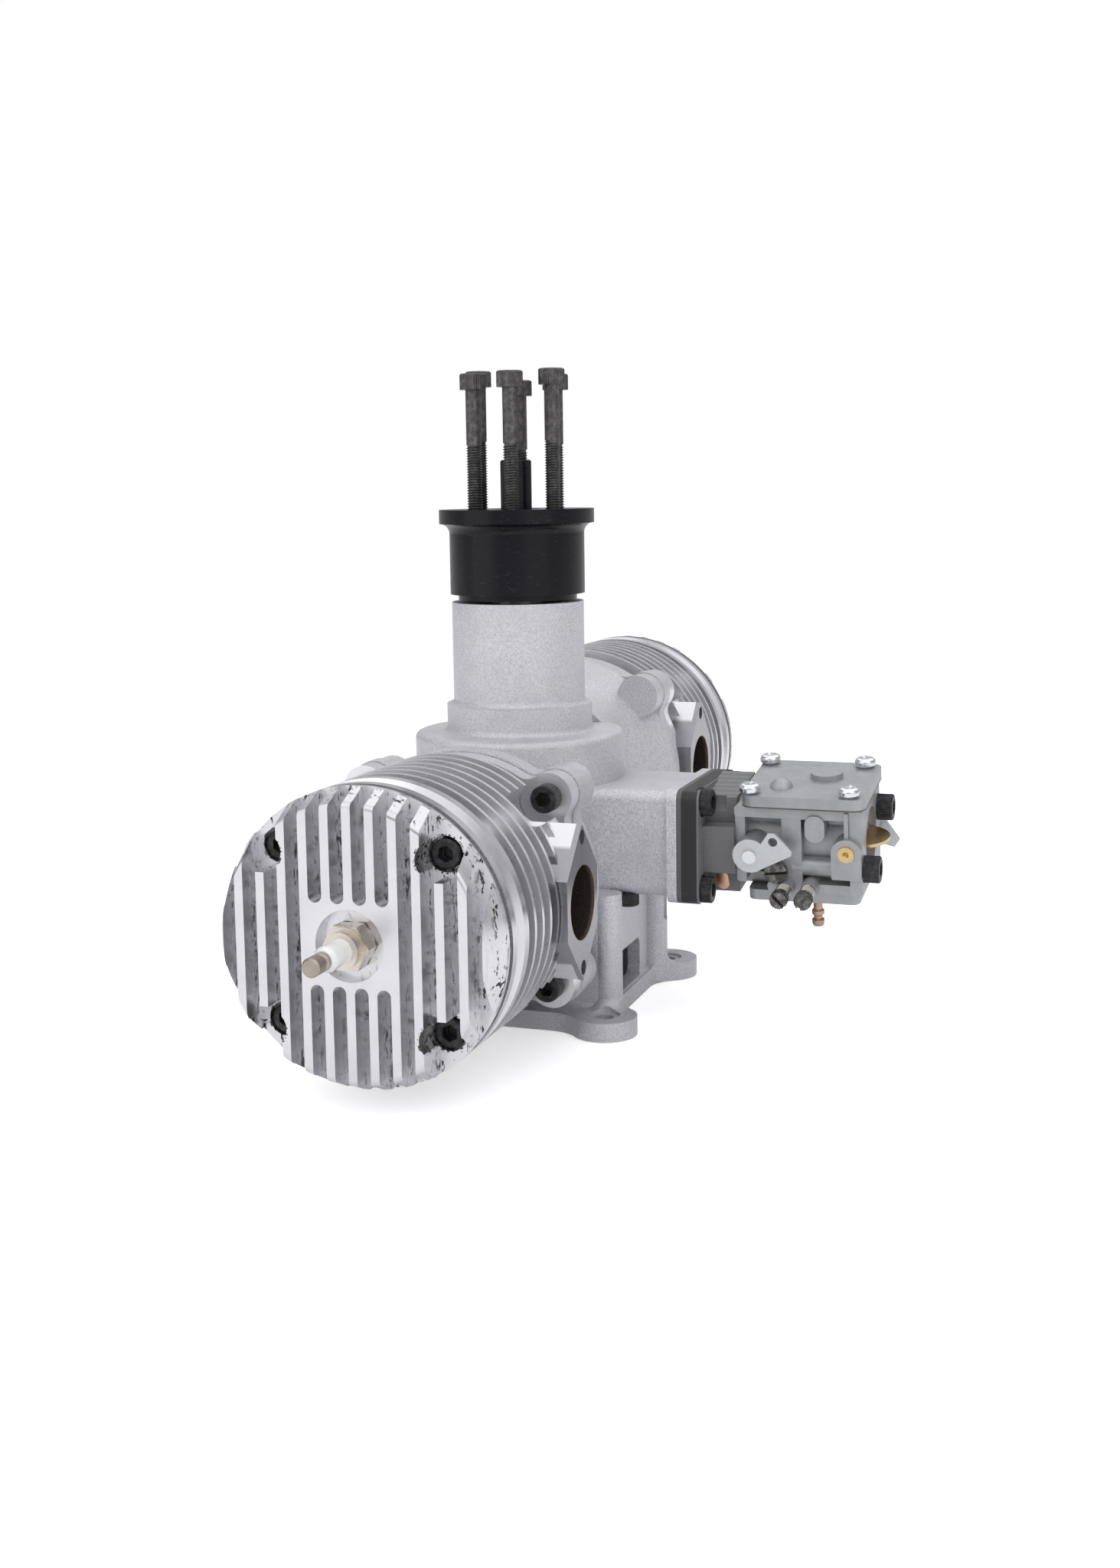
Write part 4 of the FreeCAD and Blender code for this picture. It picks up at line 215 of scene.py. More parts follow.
def blasted_casting():
    """Crankcase: sand-blasted aluminium with faint stains and handling marks."""
    finish = Finish("blasted_casting", 0.75, 0.45)
    stains = finish.fade(finish.noise(0.03, 4.0, 0.6), 0.42, 0.72)
    grains = finish.fade(finish.noise(1.5, 3.0, 0.75), 0.3, 0.7)
    clean = finish.mix(grains, (0.53, 0.525, 0.56), (0.8, 0.795, 0.83))
    stained = finish.mix(finish.times(stains, 0.45), clean, (0.5, 0.49, 0.51))
    marks = finish.fade(finish.cells(0.16), 0.06, 0.03)
    finish.colour(finish.mix(finish.times(marks, 0.5), stained, (0.4, 0.38, 0.36)))
    finish.rough(grains, 0.38, 0.56)
    finish.relief(grains, 0.13, 0.75)
    finish.relief(finish.noise(0.35, 2.0), 0.14, 0.35)
    return finish.material


def turned_aluminium(name, line, side):
    """Cylinder: bright turned fins, milled exhaust block, sooty port with a coppery rim."""
    finish = Finish(name, 0.82, 0.3, (0, 0, line))
    haze = finish.noise(0.07, 4.0)
    turned = finish.mix(haze, (0.74, 0.735, 0.76), (0.88, 0.875, 0.9))
    milled = finish.mix(haze, (0.3, 0.3, 0.32), (0.4, 0.395, 0.425))
    across = finish.level("X")
    from_port = finish.distance((0, side * PORT_OUT, 0), (0, 1, 1))
    block_side = finish.times(finish.fade(from_port, PORT_BLOCK_RADIUS + 0.5, PORT_BLOCK_RADIUS - 0.5),
                              finish.fade(across, PORT_BLOCK_START - 1.0, PORT_BLOCK_START + 1.0))
    block_face = finish.fade(across, PORT_BLOCK_FACE - 0.2, PORT_BLOCK_FACE + 0.2)
    metal = finish.mix(finish.larger(block_side, block_face), turned, milled)
    inside = finish.times(finish.fade(from_port, PORT_RADIUS + 0.15, PORT_RADIUS - 0.15),
                          finish.fade(across, 20.0, 24.0))
    rim = finish.times(finish.fade(across, PORT_BLOCK_FACE + 0.2, PORT_BLOCK_FACE + 1.7), inside)
    soot = finish.mix(finish.noise(1.1, 3.0, 0.7), (0.05, 0.042, 0.042), (0.2, 0.165, 0.15))
    finish.colour(finish.mix(inside, metal, finish.mix(rim, soot, (0.5, 0.36, 0.28))))
    finish.rough(haze, 0.2, 0.36)
    finish.relief(finish.rings("Y", 0.55), 0.006, 0.3)
    finish.relief(finish.bands("Y", 0.35, 0.2), 0.004, 0.2)
    return finish.material


def finned_head(name, line, side):
    """Cylinder head: bright machined ribs with remains of black paint in the slots and round the screws."""
    finish = Finish(name, 0.92, 0.26, (0, 0, line))
    haze = finish.noise(0.09, 3.0)
    metal = finish.mix(haze, (0.64, 0.635, 0.665), (0.8, 0.795, 0.82))
    out = finish.times(finish.level("Y"), side)

    # Chipped paint in the slots, left in upright streaks and flecks
    slot = finish.times(finish.fade(out, SLOT_FLOOR, SLOT_FLOOR + 0.6),
                        finish.fade(out, RIB_TOPS, SLOT_MIDDLE))
    flecks = finish.noise(0.85, 3.0, 0.6, (1.0, 1.0, 0.45))
    streaks = finish.noise(0.45, 2.0, 0.5, (1.0, 1.0, 0.1))
    paint = finish.times(finish.fade(finish.plus(finish.times(streaks, 0.55), flecks), 0.888, 0.896), slot)

    # Rings of paint round the screws
    seats = finish.fade(out, SEAT_START, SEAT_START + 1.0)
    patches = finish.fade(finish.noise(0.8, 3.0, 0.6), 0.54, 0.555)
    for right, up in CORNERS:
        screw = (HEAD_SCREW_SPREAD * right, 0, HEAD_SCREW_SPREAD * up)
        ring = finish.times(finish.fade(finish.distance(screw, (1, 0, 1)), 6.6, 6.3), patches)
        paint = finish.larger(paint, finish.times(ring, seats))

    # Chips at the rim, and specks in the groove behind it on the exhaust's side
    edge = finish.fade(finish.distance((0, 0, 0), (1, 0, 1)), 45.0, 46.5)
    chips = finish.times(finish.fade(finish.noise(0.25, 3.0, 0.6), 0.65, 0.66), edge)
    paint = finish.larger(paint, finish.times(chips, finish.fade(out, SLOT_FLOOR - 0.5, SLOT_FLOOR + 0.5)))
    groove = finish.times(finish.fade(out, GROOVE_START, GROOVE_START + 0.3),
                          finish.fade(out, GROOVE_END, GROOVE_END - 0.3))
    specks = finish.times(finish.fade(finish.noise(1.1, 4.0, 0.7), 0.55, 0.58), groove)
    paint = finish.larger(paint, finish.times(specks, finish.fade(finish.level("X"), 12.0, 20.0)))

    finish.colour(finish.mix(paint, metal, (0.012, 0.012, 0.013)))
    finish.metal(finish.larger(paint, finish.times(slot, 0.3)), 0.92, 0.0)
    finish.rough(finish.plus(haze, finish.times(paint, 0.8)), 0.16, 0.34)
    finish.relief(finish.rings("Y", 0.5), 0.008, 0.35)
    finish.relief(paint, 0.05, 0.6)
    return finish.material


def black_anodised():
    """Propeller hub: semi-gloss black with dust and handling scratches."""
    finish = Finish("black_anodised", 0.0, 0.26)
    finish.shader.inputs["Specular IOR Level"].default_value = 0.25
    dust = finish.fade(finish.noise(2.4, 5.0, 0.8), 0.66, 0.74)
    scratches = finish.fade(finish.noise(0.3, 2.0, 0.5, (1.0, 1.0, 11.0)), 0.67, 0.7)
    wear = finish.times(finish.larger(dust, scratches), 0.22)
    finish.colour(finish.mix(wear, (0.003, 0.003, 0.006), (0.13, 0.13, 0.145)))
    finish.rough(finish.noise(0.12, 3.0), 0.2, 0.34)
    finish.relief(finish.rings("Z", 0.6, 0.3), 0.006, 0.3)
    finish.relief(finish.noise(0.9, 2.0), 0.02, 0.3)
    return finish.material


def oxide(name, dark, pale, metallic):
    """Black-oxide steel of screws and bolts, rubbed paler in patches."""
    finish = Finish(name, metallic, 0.42)
    rubbed = finish.fade(finish.noise(0.5, 4.0, 0.65), 0.4, 0.75)
    finish.colour(finish.mix(rubbed, dark, pale))
    finish.rough(finish.noise(1.2, 2.0), 0.32, 0.55)
    finish.relief(finish.noise(4.0, 2.0), 0.012, 0.4)
    return finish.material


def plain_metal(name, dark, pale, rough_low, rough_high, metallic=1.0, grain=1.0):
    """Plated or ground metal with a fine uneven surface."""
    finish = Finish(name, metallic, rough_low)
    haze = finish.noise(0.25 * grain, 4.0, 0.6)
    finish.colour(finish.mix(haze, dark, pale))
    finish.rough(haze, rough_low, rough_high)
    finish.relief(finish.noise(3.0 * grain, 3.0, 0.6), 0.01, 0.45)
    return finish.material


def die_casting():
    """Carburettor: grey die-cast alloy, a little mottled, with darker flow marks."""
    finish = Finish("die_casting", 0.55, 0.42)
    mottle = finish.noise(0.35, 5.0, 0.65)
    flow = finish.fade(finish.noise(0.12, 3.0, 0.6, (1.0, 1.0, 0.5)), 0.35, 0.7)
    pale = finish.mix(mottle, (0.31, 0.315, 0.33), (0.48, 0.485, 0.5))
    finish.colour(finish.mix(finish.times(flow, 0.4), pale, (0.29, 0.29, 0.305)))
    finish.rough(mottle, 0.34, 0.52)
    finish.relief(finish.noise(1.6, 4.0, 0.6), 0.05, 0.4)
    finish.relief(finish.noise(0.3, 2.0), 0.08, 0.3)
    return finish.material


def milled_phenolic():
    """Insulator: black laminate with the cloth's weave, paler where its block is milled."""
    finish = Finish("milled_phenolic", 0.0, 0.42)
    weave = finish.times(finish.bands("X", 0.5, 0.8), finish.bands("Z", 0.75, 0.8))
    plate = finish.mix(weave, (0.012, 0.012, 0.015), (0.032, 0.032, 0.037))
    milled = finish.mix(weave, (0.12, 0.12, 0.125), (0.22, 0.22, 0.225))
    beyond_plate = finish.fade(finish.level("X"), PLATE_END - 0.1, PLATE_END + 0.1)
    finish.colour(finish.mix(beyond_plate, plate, milled))
    finish.rough(finish.noise(0.6, 3.0), 0.34, 0.55)
    finish.relief(weave, 0.04, 0.5)
    finish.relief(finish.noise(2.0, 2.0), 0.02, 0.4)
    return finish.material


def glazed_porcelain():
    """Insulator of a spark plug: white under a clear glaze."""
    finish = Finish("glazed_porcelain", 0.0, 0.12)
    finish.shader.inputs["Coat Weight"].default_value = 0.6
    finish.shader.inputs["Coat Roughness"].default_value = 0.05
    finish.colour(finish.mix(finish.noise(0.4, 3.0), (0.78, 0.78, 0.765), (0.87, 0.87, 0.86)))
    finish.rough(finish.noise(0.8, 2.0), 0.1, 0.2)
    finish.relief(finish.noise(1.0, 2.0), 0.01, 0.3)
    return finish.material


def matt(name, dark, pale, rough=0.7, scale=1.0):
    """Paper, rubber, plastic or laminate."""
    finish = Finish(name, 0.0, rough)
    fibres = finish.noise(scale, 5.0, 0.7)
    finish.colour(finish.mix(fibres, dark, pale))
    finish.rough(fibres, rough - 0.1, rough + 0.1)
    finish.relief(fibres, 0.03, 0.4)
    return finish.material


CASE = blasted_casting()
HUB = black_anodised()
BLACK_SCREW = oxide("black_screw", (0.018, 0.018, 0.02), (0.06, 0.06, 0.062), 0.35)
BOLT = oxide("bolt_oxide", (0.08, 0.076, 0.075), (0.18, 0.17, 0.165), 0.65)
NEEDLE = oxide("needle_steel", (0.1, 0.095, 0.09), (0.32, 0.31, 0.3), 0.85)
CARB = die_casting()
ZINC = plain_metal("zinc_plate", (0.7, 0.72, 0.74), (0.86, 0.88, 0.9), 0.16, 0.32)
LEVER = plain_metal("lever_plate", (0.56, 0.575, 0.6), (0.7, 0.715, 0.73), 0.34, 0.5, metallic=0.85)
STEEL = plain_metal("ground_steel", (0.5, 0.5, 0.51), (0.66, 0.66, 0.67), 0.2, 0.36)
SPRING = plain_metal("spring_wire", (0.42, 0.39, 0.36), (0.66, 0.62, 0.58), 0.2, 0.34)
BRASS = plain_metal("turned_brass", (0.6, 0.42, 0.2), (0.8, 0.6, 0.32), 0.2, 0.4)
COPPER = plain_metal("copper", (0.6, 0.33, 0.22), (0.8, 0.5, 0.36), 0.3, 0.48)
NIPPLE = plain_metal("fuel_nipple_bronze", (0.36, 0.23, 0.15), (0.58, 0.41, 0.3), 0.28, 0.46)
NICKEL = plain_metal("tinted_nickel", (0.58, 0.53, 0.47), (0.8, 0.74, 0.67), 0.2, 0.34)
TERMINAL = plain_metal("tarnished_terminal", (0.33, 0.27, 0.235), (0.52, 0.45, 0.4), 0.3, 0.5, grain=2.0)
PISTON = plain_metal("turned_piston", (0.55, 0.55, 0.56), (0.7, 0.7, 0.71), 0.25, 0.4)
PORCELAIN = glazed_porcelain()
PHENOLIC = milled_phenolic()
PAPER = matt("gasket_paper", (0.05, 0.05, 0.05), (0.16, 0.15, 0.14))
RUBBER = matt("seal_rubber", (0.012, 0.012, 0.012), (0.03, 0.03, 0.03), 0.55, 2.0)
REED = matt("reed_plastic", (0.06, 0.06, 0.062), (0.13, 0.13, 0.13), 0.5)
PETAL = matt("petal_laminate", (0.16, 0.15, 0.08), (0.3, 0.28, 0.16), 0.45)

NODE_FINISHES = {
    "crankcase_front": CASE, "crankcase_rear": CASE,
    "cylinder_near": turned_aluminium("turned_cylinder_near", NEAR_LINE, -1),
    "cylinder_far": turned_aluminium("turned_cylinder_far", FAR_LINE, 1),
    "cylinder_head_near": finned_head("head_near", NEAR_LINE, -1),
    "cylinder_head_far": finned_head("head_far", FAR_LINE, 1),
    "base_gaskets": PAPER, "head_gaskets": COPPER, "oil_seal": RUBBER,
    "propeller_hub": HUB, "centring_sleeve": HUB,
    "carburettor_body": CARB, "diaphragm_cover": CARB, "pump_cover": CARB, "cover_gasket": PAPER,
    "insulator_block": PHENOLIC, "reed_cage": REED, "reed_petals": PETAL,
    "throttle_shaft": ZINC, "throttle_lever": LEVER, "throttle_plate": BRASS,
    "choke_shaft": ZINC, "choke_lever": LEVER, "choke_plate": BRASS,
    "fuel_nipple": NIPPLE, "brass_plug": BRASS,
    "plug_shells": NICKEL, "plug_insulators": PORCELAIN, "plug_terminals": TERMINAL,
    "piston_near": PISTON, "piston_far": PISTON,
}
for name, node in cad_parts.items():
    node.data.materials.clear()
    node.data.materials.append(NODE_FINISHES.get(name, STEEL))


# Ways of working
def only(piece):
    """Leave one piece selected and active."""
    if bpy.context.mode != "OBJECT":
        bpy.ops.object.mode_set(mode="OBJECT")
    bpy.ops.object.select_all(action="DESELECT")
    piece.select_set(True)
    bpy.context.view_layer.objects.active = piece


def pick(piece, kind, test):
    """Enter edit mode with the vertices, edges or polygons that pass a test selected."""
    only(piece)
    bpy.ops.object.mode_set(mode="EDIT")
    bpy.ops.mesh.select_mode(type={"vertices": "VERT", "edges": "EDGE", "polygons": "FACE"}[kind])
    bpy.ops.mesh.select_all(action="DESELECT")
    bpy.ops.object.mode_set(mode="OBJECT")
    mesh = piece.data
    for element in getattr(mesh, kind):
        if kind == "vertices":
            element.select = test(element.co / MM)
        elif kind == "edges":
            element.select = test(*(mesh.vertices[end].co / MM for end in element.vertices))
        else:
            element.select = test(element.center / MM, element.normal)
    bpy.ops.object.mode_set(mode="EDIT")


def done():
    bpy.ops.object.mode_set(mode="OBJECT")


def keep_place():
    """Leave the active piece's place, turn and size in its mesh."""
    bpy.ops.object.transform_apply(location=True, rotation=True, scale=True)


def cylinder(radius, low, high, sides):
    """A closed cylinder on the Z axis between two heights."""
    bpy.ops.object.select_all(action="DESELECT")
    bpy.ops.mesh.primitive_cylinder_add(vertices=sides, radius=radius * MM, depth=(high - low) * MM,
                                        location=(0, 0, (low + high) / 2 * MM))
    keep_place()
    return bpy.context.object


def block(x, y, z):
    """A box between pairs of coordinates."""
    bpy.ops.object.select_all(action="DESELECT")
    bpy.ops.mesh.primitive_cube_add(size=MM, location=[sum(pair) / 2 * MM for pair in (x, y, z)])
    made = bpy.context.object
    made.scale = [pair[1] - pair[0] for pair in (x, y, z)]
    keep_place()
    return made


def carve(piece, tool):
    """Cut a tool's shape out of a piece."""
    only(piece)
    cutting = piece.modifiers.new("cut", "BOOLEAN")
    cutting.object = tool
    cutting.operation = "DIFFERENCE"
    cutting.solver = "EXACT"
    bpy.ops.object.modifier_apply(modifier=cutting.name)
    bpy.data.objects.remove(tool)


def joined(name, pieces):
    """Make one piece of several."""
    only(pieces[0])
    for piece in pieces:
        piece.select_set(True)
    if len(pieces) > 1:
        bpy.ops.object.join()
    pieces[0].name = name
    return pieces[0]


def coil(radius, wire, start, pitch, turns, sides, steps):
    """Wire, or a thread's ridge, wound round the Z axis, with closed ends."""
    bpy.ops.object.select_all(action="DESELECT")
    bpy.ops.mesh.primitive_circle_add(vertices=sides, radius=wire * MM,
                                      location=(radius * MM, 0, start * MM),
                                      rotation=(math.pi / 2, math.pi / 2, 0))
    keep_place()
    made = bpy.context.object
    winding = made.modifiers.new("winding", "SCREW")
    rounds = math.ceil(turns)
    winding.iterations = rounds
    winding.steps = winding.render_steps = steps
    winding.angle = math.tau * turns / rounds
    winding.screw_offset = pitch * MM * turns / rounds
    bpy.ops.object.modifier_apply(modifier=winding.name)
    pick(made, "vertices", lambda place: True)
    bpy.ops.mesh.remove_doubles(threshold=1e-6)
    bpy.ops.mesh.select_all(action="DESELECT")
    bpy.ops.mesh.select_mode(type="EDGE")
    bpy.ops.mesh.select_non_manifold(extend=False)
    bpy.ops.mesh.fill_holes(sides=0)
    bpy.ops.mesh.select_all(action="SELECT")
    bpy.ops.mesh.normals_make_consistent(inside=False)
    done()
    return made


def knurled(radius, low, high, teeth, depth, chamfer):
    """A round head with upright serrations and a chamfered top."""
    head = cylinder(radius, low, high, 2 * teeth)
    step = math.pi / teeth
    pick(head, "vertices", lambda place: round(math.atan2(place.x, place.y) / step) % 2 == 1)
    bpy.ops.transform.resize(value=(1 - depth / radius, 1 - depth / radius, 1), center_override=(0, 0, 0))
    pick(head, "polygons", lambda middle, normal: normal.z > 0.9)
    bpy.ops.mesh.inset(thickness=chamfer * MM)
    rim = radius - depth - chamfer * 0.5
    pick(head, "vertices", lambda place: place.z > high - 0.01 and place.xy.length > rim)
    bpy.ops.transform.translate(value=(0, 0, -chamfer * MM))
    done()
    return head


def smooth(piece, degrees=32):
    """Shade a piece smooth, but for edges sharper than an angle."""
    only(piece)
    bpy.ops.object.shade_smooth_by_angle(angle=math.radians(degrees))
    return piece


def cap_screw(size, length, thread=0.0):
    """A knurled socket screw on the Z axis; its head stands on z = 0."""
    radius, height, flats, shank = size
    socket = flats / math.sqrt(3)
    socket_floor, drill_floor = height * 0.45, height * 0.3
    head = knurled(radius, 0, height, teeth=34, depth=0.2, chamfer=0.45)
    carve(head, cylinder(socket, socket_floor, height + 1, 6))
    carve(head, cylinder(socket * 0.72, drill_floor, height * 0.46, 20))
    if thread:
        root, thread_start = shank - 0.55, thread - length
        rod = cylinder(shank - 0.12, thread_start, 0.2, 28)
        core = cylinder(root, -length, thread_start + 0.2, 28)
        ridge = coil(root + 0.12, 0.47, -length + 0.5, pitch=1.0, turns=thread - 1.0, sides=3, steps=24)
        below = [rod, core, ridge]
    else:
        below = [cylinder(shank, -length, 0.2, 24)]
    return smooth(joined("cap_screw", [head, *below]), 30)


def stand(piece, at, turned):
    """Turn a piece about the origin and move it, and leave that in its mesh."""
    piece.rotation_mode = "QUATERNION"
    piece.rotation_quaternion = turned
    piece.location = Vector(at) * MM
    only(piece)
    keep_place()
    return piece


def set_in(model, at, axis, turn=0.0):
    """A copy of a model, with its own mesh, standing at its seat and pointing along its axis."""
    made = model.copy()
    made.data = model.data.copy()
    bpy.context.scene.collection.objects.link(made)
    return stand(made, at, Z_UP.rotation_difference(Vector(axis)) @ Quaternion(Z_UP, turn))


def set_all_in(model, seats):
    """Copies of a model at seats of a place, an axis and a turn; the model itself is used up."""
    made = [set_in(model, *seat) for seat in seats]
    bpy.data.objects.remove(model)
    return made


def fit(piece, body, slot, finish, *nodes):
    """Give a piece its finish and make it ride, in place of the plain CAD nodes."""
    piece.data.materials.clear()
    piece.data.materials.append(finish)
    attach(piece, body)
    if nodes:
        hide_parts(*nodes)


def fit_screws(node, screws, slot, finish, body="engine_case"):
    """Join screws into one detailed piece, in place of the plain CAD node."""
    fit(joined(node + "_detailed", screws), body, slot, finish, node)


# Socket screws of the engine
def engine_screws():
    base, head = [], []
    for side, line in ((-1, NEAR_LINE), (1, FAR_LINE)):
        for number, (right, up) in enumerate(CORNERS):
            turn = 0.4 + number * 1.1 + side
            at = (BASE_SCREW_ACROSS * right, BASE_SCREW_SEAT * side, line + BASE_SCREW_UP * up)
            base.append((at, (0, side, 0), turn))
            at = (HEAD_SCREW_SPREAD * right, HEAD_SCREW_SEAT * side, line + HEAD_SCREW_SPREAD * up)
            head.append((at, (0, side, 0), turn + 0.5))
    fit_screws("base_screws", set_all_in(cap_screw(M6, 22.5), base), "black_screw", BLACK_SCREW)
    fit_screws("head_screws", set_all_in(cap_screw(M6, 30.0), head), "black_screw", BLACK_SCREW)

    flange_middle = (46.5 + 89.2) / 2
    intake = [((77.3, 21.5 * right, flange_middle + 16.4 * up), (1, 0, 0), 0.3 * right + 0.5 * up)
              for right, up in CORNERS]
    fit_screws("intake_screws", set_all_in(cap_screw(M6, 9.5), intake), "black_screw", BLACK_SCREW)

    through = [(carb(138.0, 16.0 * side, 6.5 * side), (1, 0, 0), 0.7 * side) for side in (1, -1)]
    fit_screws("carburettor_screws", set_all_in(cap_screw(M6, 55.7), through), "black_screw", BLACK_SCREW)

    case = []
    for length, x, y, z in ((22.0, -44.0, 13.2, 60.0), (33.5, 50.0, 21.0, 48.5)):
        seats = [((x, y * side, z), (0, 0, -1), x + side) for side in (1, -1)]
        case += set_all_in(cap_screw(M5, length), seats)
    fit_screws("crankcase_screws", case, "black_screw", BLACK_SCREW)


def propeller_bolts():
    """Long bolts that stand out of the hub to different heights."""
    seats = []
    for number, lift in enumerate(BOLT_LIFTS):
        angle = math.radians(FIRST_BOLT + 60 * number)
        at = (BOLT_CIRCLE * math.cos(angle), BOLT_CIRCLE * math.sin(angle), BOLT_SEAT + lift)
        seats.append((at, Z_UP, 0.9 * number))
    bolts = set_all_in(cap_screw(M6, 65.3, thread=44.4), seats)
    fit_screws("propeller_bolts", bolts, "bolt_steel", BOLT, "crankshaft")


# Small parts of the carburettor
def cross_screw():
    """A plated pan head with a cross recess on a spring washer; the washer's foot is on z = 0."""
    low, high = 1.0, 3.5
    head = cylinder(3.9, low, high, 40)
    pick(head, "edges", lambda one, two: one.z > high - 0.1 and two.z > high - 0.1)
    bpy.ops.mesh.bevel(offset=1.75 * MM, segments=6, profile=0.55)
    done()
    for x, y in ((2.3, 0.55), (0.55, 2.3)):
        recess = block((-x, x), (-y, y), (1.9, 4.0))
        pick(recess, "vertices", lambda place: place.z < 2.5)
        bpy.ops.transform.resize(value=(0.45, 0.45, 1), center_override=(0, 0, 0))
        done()
        carve(head, recess)
    washer = coil(3.0, 0.62, 0.45, pitch=0.35, turns=0.96, sides=4, steps=40)
    shank = cylinder(2.0, -8.4, low + 0.1, 20)
    return smooth(joined("cross_screw", [head, washer, shank]), 38)


def slotted_head(radius, length, inner, spring, teeth):
    """An adjusting screw: knurled slotted head above its spring, whose foot is on z = 0, and shank below."""
    top = spring + length
    head = knurled(radius, spring, top, teeth, depth=0.22, chamfer=0.4)
    carve(head, block((-0.55, 0.55), (-6, 6), (top - 1.7, top + 1)))
    shank = cylinder(1.6, -inner, spring + 0.2, 24)
    return smooth(joined("slotted_head", [head, shank]), 30)


def cover_screws():
    """Cross-headed screws on the cover, which lies on its gasket on the body."""
    body_top, gasket, cover = 17.0, 0.6, 4.0
    spots = [(x, v) for x in (97.0, 133.3) for v in (17.8, -17.8)]
    seats = [(carb(x, v, body_top + gasket + cover), CARB_W, 0.5 + 0.8 * number)
             for number, (x, v) in enumerate(spots)]
    fit_screws("cover_screws", set_all_in(cross_screw(), seats), "zinc", ZINC)


def adjusting_screws():
    """The two needles with their springs, and the idle speed screw."""
    seats = [carb(109.8 + 8.8 * number, -23.5, -13.5) for number in (0, 1)]
    model = slotted_head(3.3, 4.5, inner=10.5, spring=7.0, teeth=22)
    needles = set_all_in(model, [(seats[0], -CARB_V, 0.75), (seats[1], -CARB_V, -0.5)])
    for name, needle in zip(("low", "high"), needles):
        fit_screws(name + "_speed_needle", [needle], "bolt_steel", NEEDLE, name + "_needle")

    wire, height, turns = 0.45, 6.1, 4.5
    model = smooth(coil(2.45, wire, wire, height / turns, turns, sides=10, steps=30), 60)
    springs = set_all_in(model, [(seat, -CARB_V, 1.2 * number) for number, seat in enumerate(seats)])
    fit(joined("needle_springs_coiled", springs), "engine_case", "spring", SPRING, "needle_springs")

    model = slotted_head(4.4, 3.0, inner=1.3, spring=0.4, teeth=28)
    idle = set_all_in(model, [(carb(106.6, -21.0, -7.0), -CARB_V, math.pi / 2 + 0.1)])
    fit_screws("idle_speed_screw", idle, "bolt_steel", NEEDLE, "idle_screw")


def wear_plate():
    """A thin copper plate with round ends, let into the insulator's near face."""
    plate = cylinder(2.3, -0.3, 0.18, 48)
    lengthened = 2.4
    pick(plate, "vertices", lambda place: place.y > 0)
    bpy.ops.transform.translate(value=(0, lengthened * MM, 0))
    pick(plate, "polygons", lambda middle, normal: normal.z > 0.9)
    bpy.ops.mesh.bevel(offset=0.12 * MM, segments=2)
    done()
    smooth(stand(plate, (0, -lengthened / 2, 0), Quaternion()))
    upright = Quaternion((1, 0, 0), math.pi / 2 + CARB_ROLL)
    stand(plate, carb(84.8, -15.5, -14.4), upright @ Quaternion(Z_UP, 0.12))
    plate.name = "copper_wear_plate"
    fit(plate, "engine_case", "copper_seal", COPPER)


def screw_boss():
    """The casting's wall round the near long screw, with a wider foot at each end."""
    boss = cylinder(3.6, 113.5, 134.0, 48)
    for way in (-1, 1):
        pick(boss, "polygons", lambda middle, normal: normal.z * way > 0.9)
        bpy.ops.mesh.extrude_region_move(TRANSFORM_OT_translate={"value": (0, 0, 1.5 * way * MM)})
        bpy.ops.transform.resize(value=(1.08, 1.08, 1), center_override=(0, 0, 0))
        done()
    cast = set_all_in(smooth(boss), [(carb(0, -16.0, -6.5), (1, 0, 0))])
    fit(joined("long_screw_boss", cast), "engine_case", "carburettor", CARB)


engine_screws()
propeller_bolts()
cover_screws()
adjusting_screws()
wear_plate()
screw_boss()


# Studio and camera
def pale_floor():
    """A pale matt floor that turns into the white backdrop away from the engine."""
    bpy.ops.object.select_all(action="DESELECT")
    bpy.ops.mesh.primitive_plane_add(size=60, location=(0, 0, -0.0002))
    floor = bpy.context.object
    floor.name = "floor"
    paint = bpy.data.materials.new("floor_paint")
    paint.use_nodes = True
    tree = paint.node_tree
    shader = tree.nodes["Principled BSDF"]
    shader.inputs["Base Color"].default_value = (0.9, 0.9, 0.905, 1)
    shader.inputs["Roughness"].default_value = 0.9
    shader.inputs["Specular IOR Level"].default_value = 0.0
    seen = new_node(tree, "ShaderNodeLightPath").outputs["Is Camera Ray"]
    half_seen = new_node(tree, "ShaderNodeMath", {"operation": "MULTIPLY"}, _0=seen, _1=0.5).outputs[0]
    glow = new_node(tree, "ShaderNodeEmission", Strength=half_seen).outputs[0]
    near = new_node(tree, "ShaderNodeAddShader", _0=shader.outputs[0], _1=glow).outputs[0]
    place = new_node(tree, "ShaderNodeTexCoord").outputs["Object"]
    away = new_node(tree, "ShaderNodeVectorMath", {"operation": "LENGTH"}, _0=place).outputs["Value"]
    far = soft_step(tree, away, 0.4, 1.1)
    far_seen = new_node(tree, "ShaderNodeMath", {"operation": "MULTIPLY"}, _0=far, _1=seen).outputs[0]
    white = new_node(tree, "ShaderNodeEmission").outputs[0]
    blend = new_node(tree, "ShaderNodeMixShader", _0=far_seen, _1=near, _2=white).outputs[0]
    tree.links.new(blend, tree.nodes["Material Output"].inputs["Surface"])
    floor.data.materials.append(paint)


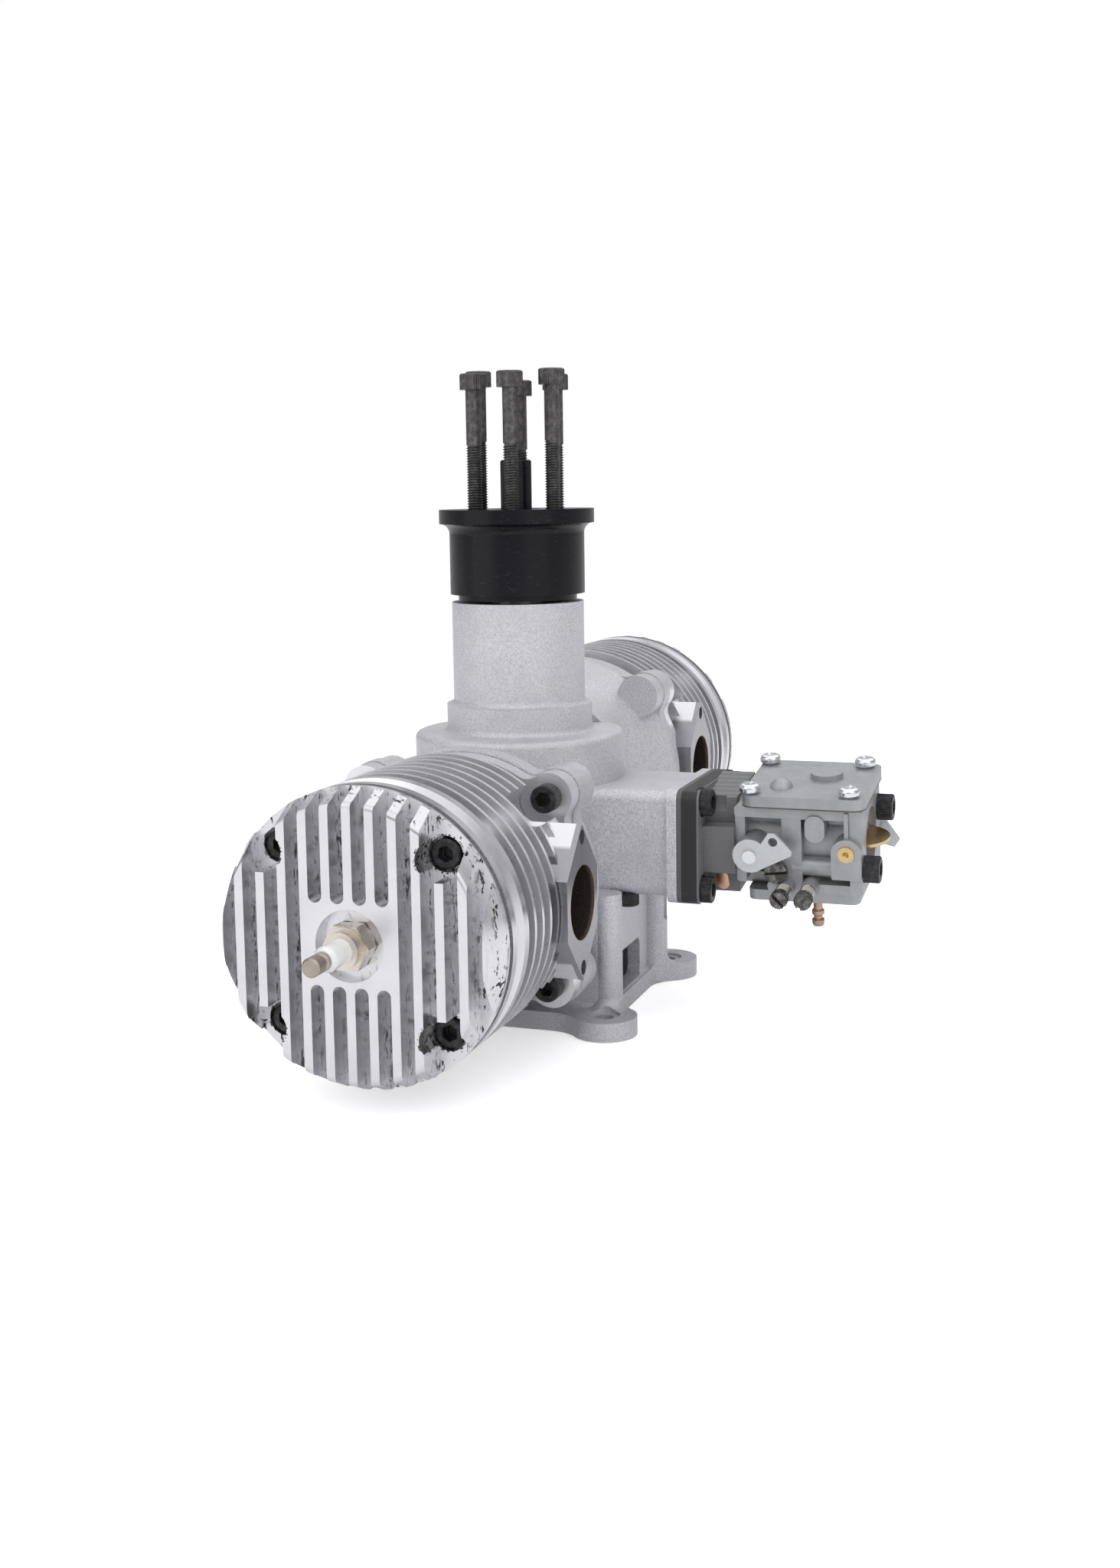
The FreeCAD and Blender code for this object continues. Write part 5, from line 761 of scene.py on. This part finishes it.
def soft_surroundings():
    """A white backdrop; metal sees the studio darker below and in front, brighter above and behind."""
    world = bpy.data.worlds.new("studio")
    bpy.context.scene.world = world
    world.use_nodes = True
    tree = world.node_tree
    tree.nodes.clear()
    light = new_node(tree, "ShaderNodeLightPath").outputs
    seen = new_node(tree, "ShaderNodeMath", {"operation": "MAXIMUM"}, _0=light["Is Camera Ray"],
                    _1=light["Is Transmission Ray"]).outputs[0]
    way = new_node(tree, "ShaderNodeTexCoord").outputs["Generated"]
    axes = new_node(tree, "ShaderNodeSeparateXYZ", _0=way).outputs
    dark, gain = 0.17, 0.14
    above = soft_step(tree, axes["Z"], 0.1, 0.8, dark, dark + gain)
    behind = soft_step(tree, axes["Y"], 0.1, 0.9, dark, dark + gain)
    total = new_node(tree, "ShaderNodeMath", {"operation": "ADD"}, _0=above, _1=behind).outputs[0]
    reflected, plain, backdrop = (
        new_node(tree, "ShaderNodeBackground", Color=colour, Strength=strength).outputs[0]
        for colour, strength in (((0.97, 0.97, 1.0, 1), total), ((0.97, 0.98, 1.0, 1), 0.68),
                                 ((1, 1, 1, 1), 1.0)))
    around = new_node(tree, "ShaderNodeMixShader", _0=light["Is Glossy Ray"],
                      _1=plain, _2=reflected).outputs[0]
    chosen = new_node(tree, "ShaderNodeMixShader", _0=seen, _1=around, _2=backdrop).outputs[0]
    new_node(tree, "ShaderNodeOutputWorld", _0=chosen)


def softbox(name, at, size, power):
    """A rectangular lamp that faces the engine; its place and size are in metres."""
    data = bpy.data.lights.new(name, "AREA")
    data.shape = "RECTANGLE"
    data.size, data.size_y = size
    data.energy = power
    lamp = bpy.data.objects.new(name, data)
    lamp.location = at
    lamp.rotation_mode = "QUATERNION"
    engine_middle = Vector((0.02, 0, 0.1))
    lamp.rotation_quaternion = (engine_middle - Vector(at)).to_track_quat("-Z", "Y")
    bpy.context.scene.collection.objects.link(lamp)


def stand_camera():
    """The photograph's view: 19.1 degrees to the right of the near cylinder, looking 7.4 degrees down."""
    azimuth, down, roll = (math.radians(angle) for angle in (19.081, 7.393, -0.796))
    back = Vector((math.sin(azimuth) * math.cos(down), -math.cos(azimuth) * math.cos(down), math.sin(down)))
    frame_height, focal_length, middle_row = 2048, 2351.15, 937.56
    data = bpy.data.cameras.new("camera")
    data.sensor_width = 36.0
    data.lens = focal_length * 36.0 / frame_height
    data.shift_y = (middle_row - frame_height / 2) / frame_height
    data.clip_start, data.clip_end = 0.01, 50.0
    camera = bpy.data.objects.new("camera", data)
    camera.rotation_mode = "QUATERNION"
    camera.rotation_quaternion = Quaternion(back, roll) @ back.to_track_quat("Z", "Y")
    camera.location = Vector((243.87, -656.96, 201.22)) * MM
    bpy.context.scene.collection.objects.link(camera)
    bpy.context.scene.camera = camera


pale_floor()
soft_surroundings()
softbox("key_above", (0.1, -0.9, 1.5), (2.8, 2.4), 15)
softbox("fill_right", (1.6, -1.2, 0.9), (1.6, 1.6), 6)
softbox("fill_left", (-1.3, -1.5, 0.7), (1.6, 1.6), 6)
softbox("top_back", (0.1, 0.8, 1.6), (2.4, 1.6), 9)
stand_camera()

bpy.context.scene.view_settings.view_transform = "Standard"
